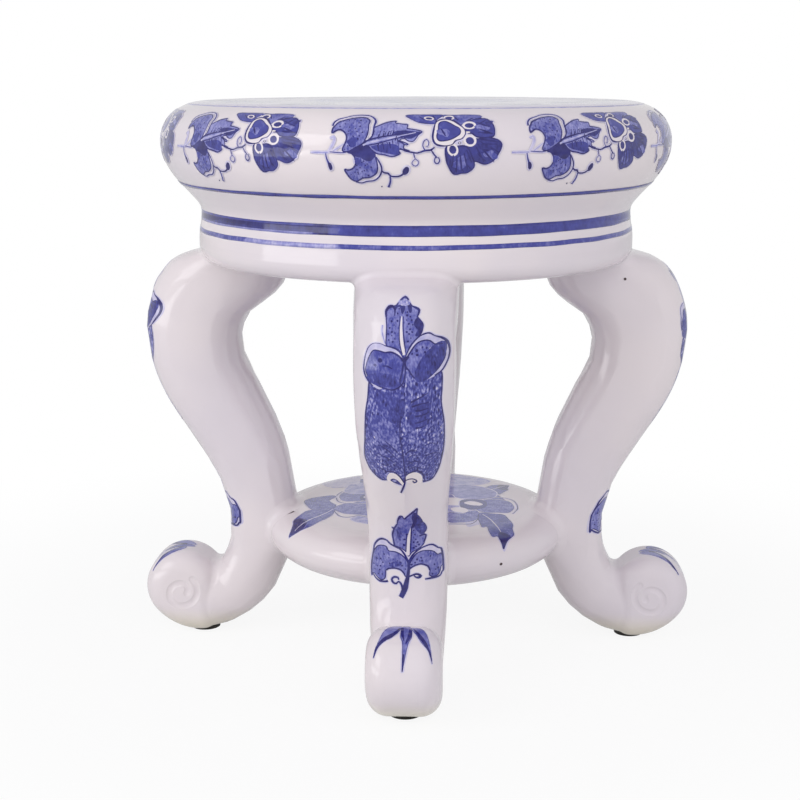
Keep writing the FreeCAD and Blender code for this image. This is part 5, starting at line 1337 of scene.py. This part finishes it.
class STOOL_OT_specks(bpy.types.Operator):
    """Adds the few iron specks that came through the glaze in the kiln"""
    bl_idname = "stool.specks"
    bl_label = "Add the iron specks"

    def execute(self, context):
        material = iron_speck(context.scene.stool_glaze)
        for name, host, millimetres, wide, high in SPECKS:
            place = [value / 1000.0 for value in millimetres]
            clear_selection()
            bpy.ops.mesh.primitive_uv_sphere_add(segments=16, ring_count=8, radius=0.001, location=place)
            piece = context.object
            piece.name = name
            piece.scale = (wide, min(wide, high), high)
            bpy.ops.object.transform_apply(location=True, rotation=False, scale=True)
            spot, normal, face, reach = host_tree(host).find_nearest(place)
            for vertex in piece.data.vertices:
                off = (vertex.co - spot).dot(normal)
                vertex.co += normal * (max(min(off, SPECK_OUT), -SPECK_IN) - off)
            bpy.ops.object.shade_smooth()
            dress(piece, material)
        return {"FINISHED"}


class STOOL_OT_shelf_painting(bpy.types.Operator):
    """Paints the flower on the shelf between the ankles"""
    bl_idname = "stool.shelf_painting"
    bl_label = "Paint the shelf"

    def execute(self, context):
        back_scale = -0.8
        sheet = Sheet(1.6, seed=31)
        sheet.draw(SHELF_FLOWER, lambda point: (point[0] * back_scale, point[1] * back_scale))
        sheet.draw(SHELF_FLOWER)
        piece = film("shelf_flower", sheet, at_level(SHELF_HEIGHT))
        lay_on(piece, "shelf", context.scene.stool_cobalt.lift, from_above)
        return {"FINISHED"}


def round_petals(count, start, outer, width, tone, turn):
    """Petals of one ring of a flower, as washes with a drawn edge."""
    ring = []
    for index in range(count):
        angle = math.tau * (index + turn) / count
        numbers = []
        for along, across in PETAL:
            reach = start + (outer - start) * along
            side = width * across
            numbers += [reach * math.cos(angle) - side * math.sin(angle),
                        reach * math.sin(angle) + side * math.cos(angle)]
        ring.append(wash(tone, 0.55, 0.35, numbers))
    return ring


class STOOL_OT_seat_painting(bpy.types.Operator):
    """Paints the flower and the sprays round it on top of the seat"""
    bl_idname = "stool.seat_painting"
    bl_label = "Paint the seat"

    def execute(self, context):
        sheet = Sheet(2.2, step=1.0, seed=41)
        sheet.oval((0.0, 0.0), SEAT_FILM_RADIUS, SEAT_FILM_RADIUS, 0.0, 0.1, 0.2, 120)
        for count in range(SEAT_SPRAYS):
            angle = math.radians(360.0 / SEAT_SPRAYS * count + SEAT_TURN)

            def carry(point, angle=angle):
                across = point[0] * SEAT_SCALE
                out = SPRAY_REACH - (point[1] - SPRAY_TOP) * SEAT_SCALE
                return (across * math.cos(angle) + out * math.sin(angle),
                        out * math.cos(angle) - across * math.sin(angle))

            sheet.draw(RIM_SPRAY, carry, bleeds=False)
        for ring in PETAL_RINGS:
            sheet.draw(round_petals(*ring))
        sheet.draw([wash(0.2, 0.6, 0.0, ring_of_numbers(8, 7.0, 0.785))])
        sheet.draw([dots(0.95, 0.7, ring_of_numbers(7, 4.2, 0.9))])
        piece = film("seat_flower", sheet, at_level(SEAT_HEIGHT))
        lay_on(piece, "seat_top", context.scene.stool_cobalt.lift, from_above)
        return {"FINISHED"}


class STOOL_OT_studio(bpy.types.Operator):
    """Adds the camera, the white floor, the softboxes and the light of the room"""
    bl_idname = "stool.studio"
    bl_label = "Set up the studio"

    def execute(self, context):
        studio = context.scene.stool_studio
        clear_selection()
        bpy.ops.object.camera_add(location=CAMERA_PLACE,
                                  rotation=(math.radians(CAMERA_TILT), 0.0, math.radians(CAMERA_TURN)))
        camera = context.object
        camera.name = "photo_camera"
        camera.data.sensor_width = CAMERA_SENSOR
        camera.data.lens = CAMERA_LENS
        camera.data.shift_x = CAMERA_SHIFT
        camera.data.clip_start = 0.01
        context.scene.camera = camera
        self.floor(studio)
        self.room(context.scene, studio)
        for name, power, place, aim, size in SOFTBOXES:
            self.softbox(name, place, aim, size, getattr(studio, power))
        for name, share, place, aim, size in WINDOWS:
            self.softbox(name, place, aim, size, studio.window_power * share)
            window = bpy.context.object
            window.visible_glossy = True
            window.visible_diffuse = False
        context.scene.view_settings.view_transform = "Standard"
        return {"FINISHED"}

    def softbox(self, name, place, aim, size, power):
        """A flat lamp that faces the stool's axis at the height aim and doesn't show in the gloss."""
        clear_selection()
        bpy.ops.object.light_add(type="AREA", location=place)
        lamp = bpy.context.object
        lamp.name = name
        lamp.data.shape = "RECTANGLE"
        lamp.data.size, lamp.data.size_y = size
        lamp.data.energy = power
        lamp.visible_glossy = False
        way = Vector((0.0, 0.0, aim)) - Vector(place)
        lamp.rotation_euler = way.to_track_quat("-Z", "Y").to_euler()

    def floor(self, studio):
        clear_selection()
        bpy.ops.mesh.primitive_plane_add(size=studio.floor_size, location=(0.0, 0.0, 0.0))
        floor = bpy.context.object
        floor.name = "studio_floor"
        material = bpy.data.materials.new("White floor")
        material.use_nodes = True
        material.node_tree.nodes.clear()
        bench = NodeBench(material.node_tree)
        output = bench.add("ShaderNodeOutputMaterial", "Surface")
        paper = bench.add("ShaderNodeBsdfDiffuse", "Paper")
        paper.inputs["Color"].default_value = (PAPER_WHITE, PAPER_WHITE, PAPER_WHITE, 1.0)
        white = bench.add("ShaderNodeEmission", "White of the backdrop")
        white.inputs["Strength"].default_value = 1.0
        path = bench.add("ShaderNodeLightPath", "Who looks")
        place = bench.add("ShaderNodeTexCoord", "Place on the floor")
        far = bench.add("ShaderNodeVectorMath", "Distance from the stool", operation="LENGTH")
        bench.link(place.outputs["Object"], far.inputs[0])
        share = bench.span("White with distance", far.outputs["Value"],
                           NEAR_FLOOR, FAR_FLOOR, NEAR_SHARE, 1.0)
        seen = bench.math("Seen by the camera", "MULTIPLY", path.outputs["Is Camera Ray"], share)
        mirrored = bench.math("Seen in gloss", "MULTIPLY", path.outputs["Is Glossy Ray"], FLOOR_IN_GLOSS)
        share = bench.math("Share of white", "MAXIMUM", seen, mirrored)
        mix = bench.add("ShaderNodeMixShader", "Paper or white")
        bench.link(share, mix.inputs["Fac"])
        bench.link(paper.outputs["BSDF"], mix.inputs[1])
        bench.link(white.outputs["Emission"], mix.inputs[2])
        bench.link(mix.outputs["Shader"], output.inputs["Surface"])
        floor.data.materials.append(material)

    def room(self, scene, studio):
        world = bpy.data.worlds.new("White room")
        scene.world = world
        world.use_nodes = True
        world.node_tree.nodes.clear()
        bench = NodeBench(world.node_tree)
        output = bench.add("ShaderNodeOutputWorld", "World")
        light = bench.add("ShaderNodeBackground", "Light of the room")
        light.inputs["Color"].default_value = (*srgb(250, 249, 255), 1.0)
        light.inputs["Strength"].default_value = studio.room
        white = bench.add("ShaderNodeBackground", "White backdrop")
        white.inputs["Color"].default_value = (1.0, 1.0, 1.0, 1.0)
        white.inputs["Strength"].default_value = 1.0
        path = bench.add("ShaderNodeLightPath", "Who looks")
        mirrored = bench.math("Seen in gloss", "MULTIPLY", path.outputs["Is Glossy Ray"], ROOM_IN_GLOSS)
        share = bench.math("Share of white", "MAXIMUM", path.outputs["Is Camera Ray"], mirrored)
        mix = bench.add("ShaderNodeMixShader", "Room or backdrop")
        bench.link(share, mix.inputs["Fac"])
        bench.link(light.outputs["Background"], mix.inputs[1])
        bench.link(white.outputs["Background"], mix.inputs[2])
        bench.link(mix.outputs["Shader"], output.inputs["Surface"])


class STOOL_PT_panel(bpy.types.Panel):
    """Sidebar panel with the stool's steps"""
    bl_label = "Porcelain garden stool"
    bl_idname = "STOOL_PT_panel"
    bl_space_type = "VIEW_3D"
    bl_region_type = "UI"
    bl_category = "Stool"

    def draw(self, context):
        for step in STEPS:
            self.layout.operator(step)


SETTINGS = (("stool_glaze", GlazeSettings), ("stool_cobalt", CobaltSettings),
            ("stool_pads", PadSettings), ("stool_studio", StudioSettings))
CLASSES = (STOOL_OT_finishes, STOOL_OT_rim_sprays, STOOL_OT_bands, STOOL_OT_leg_painting,
           STOOL_OT_shelf_painting, STOOL_OT_seat_painting, STOOL_OT_specks, STOOL_OT_studio, STOOL_PT_panel)
STEPS = ("stool.finishes", "stool.rim_sprays", "stool.bands", "stool.leg_painting", "stool.shelf_painting",
         "stool.seat_painting", "stool.specks", "stool.studio")


def register():
    for name, kind in SETTINGS:
        bpy.utils.register_class(kind)
        setattr(bpy.types.Scene, name, bpy.props.PointerProperty(type=kind))
    for kind in CLASSES:
        bpy.utils.register_class(kind)


def unregister():
    for kind in reversed(CLASSES):
        bpy.utils.unregister_class(kind)
    for name, kind in reversed(SETTINGS):
        delattr(bpy.types.Scene, name)
        bpy.utils.unregister_class(kind)


def main():
    register()
    for step in STEPS:
        family, name = step.split(".")
        getattr(getattr(bpy.ops, family), name)()


if __name__ == "__main__":
    main()
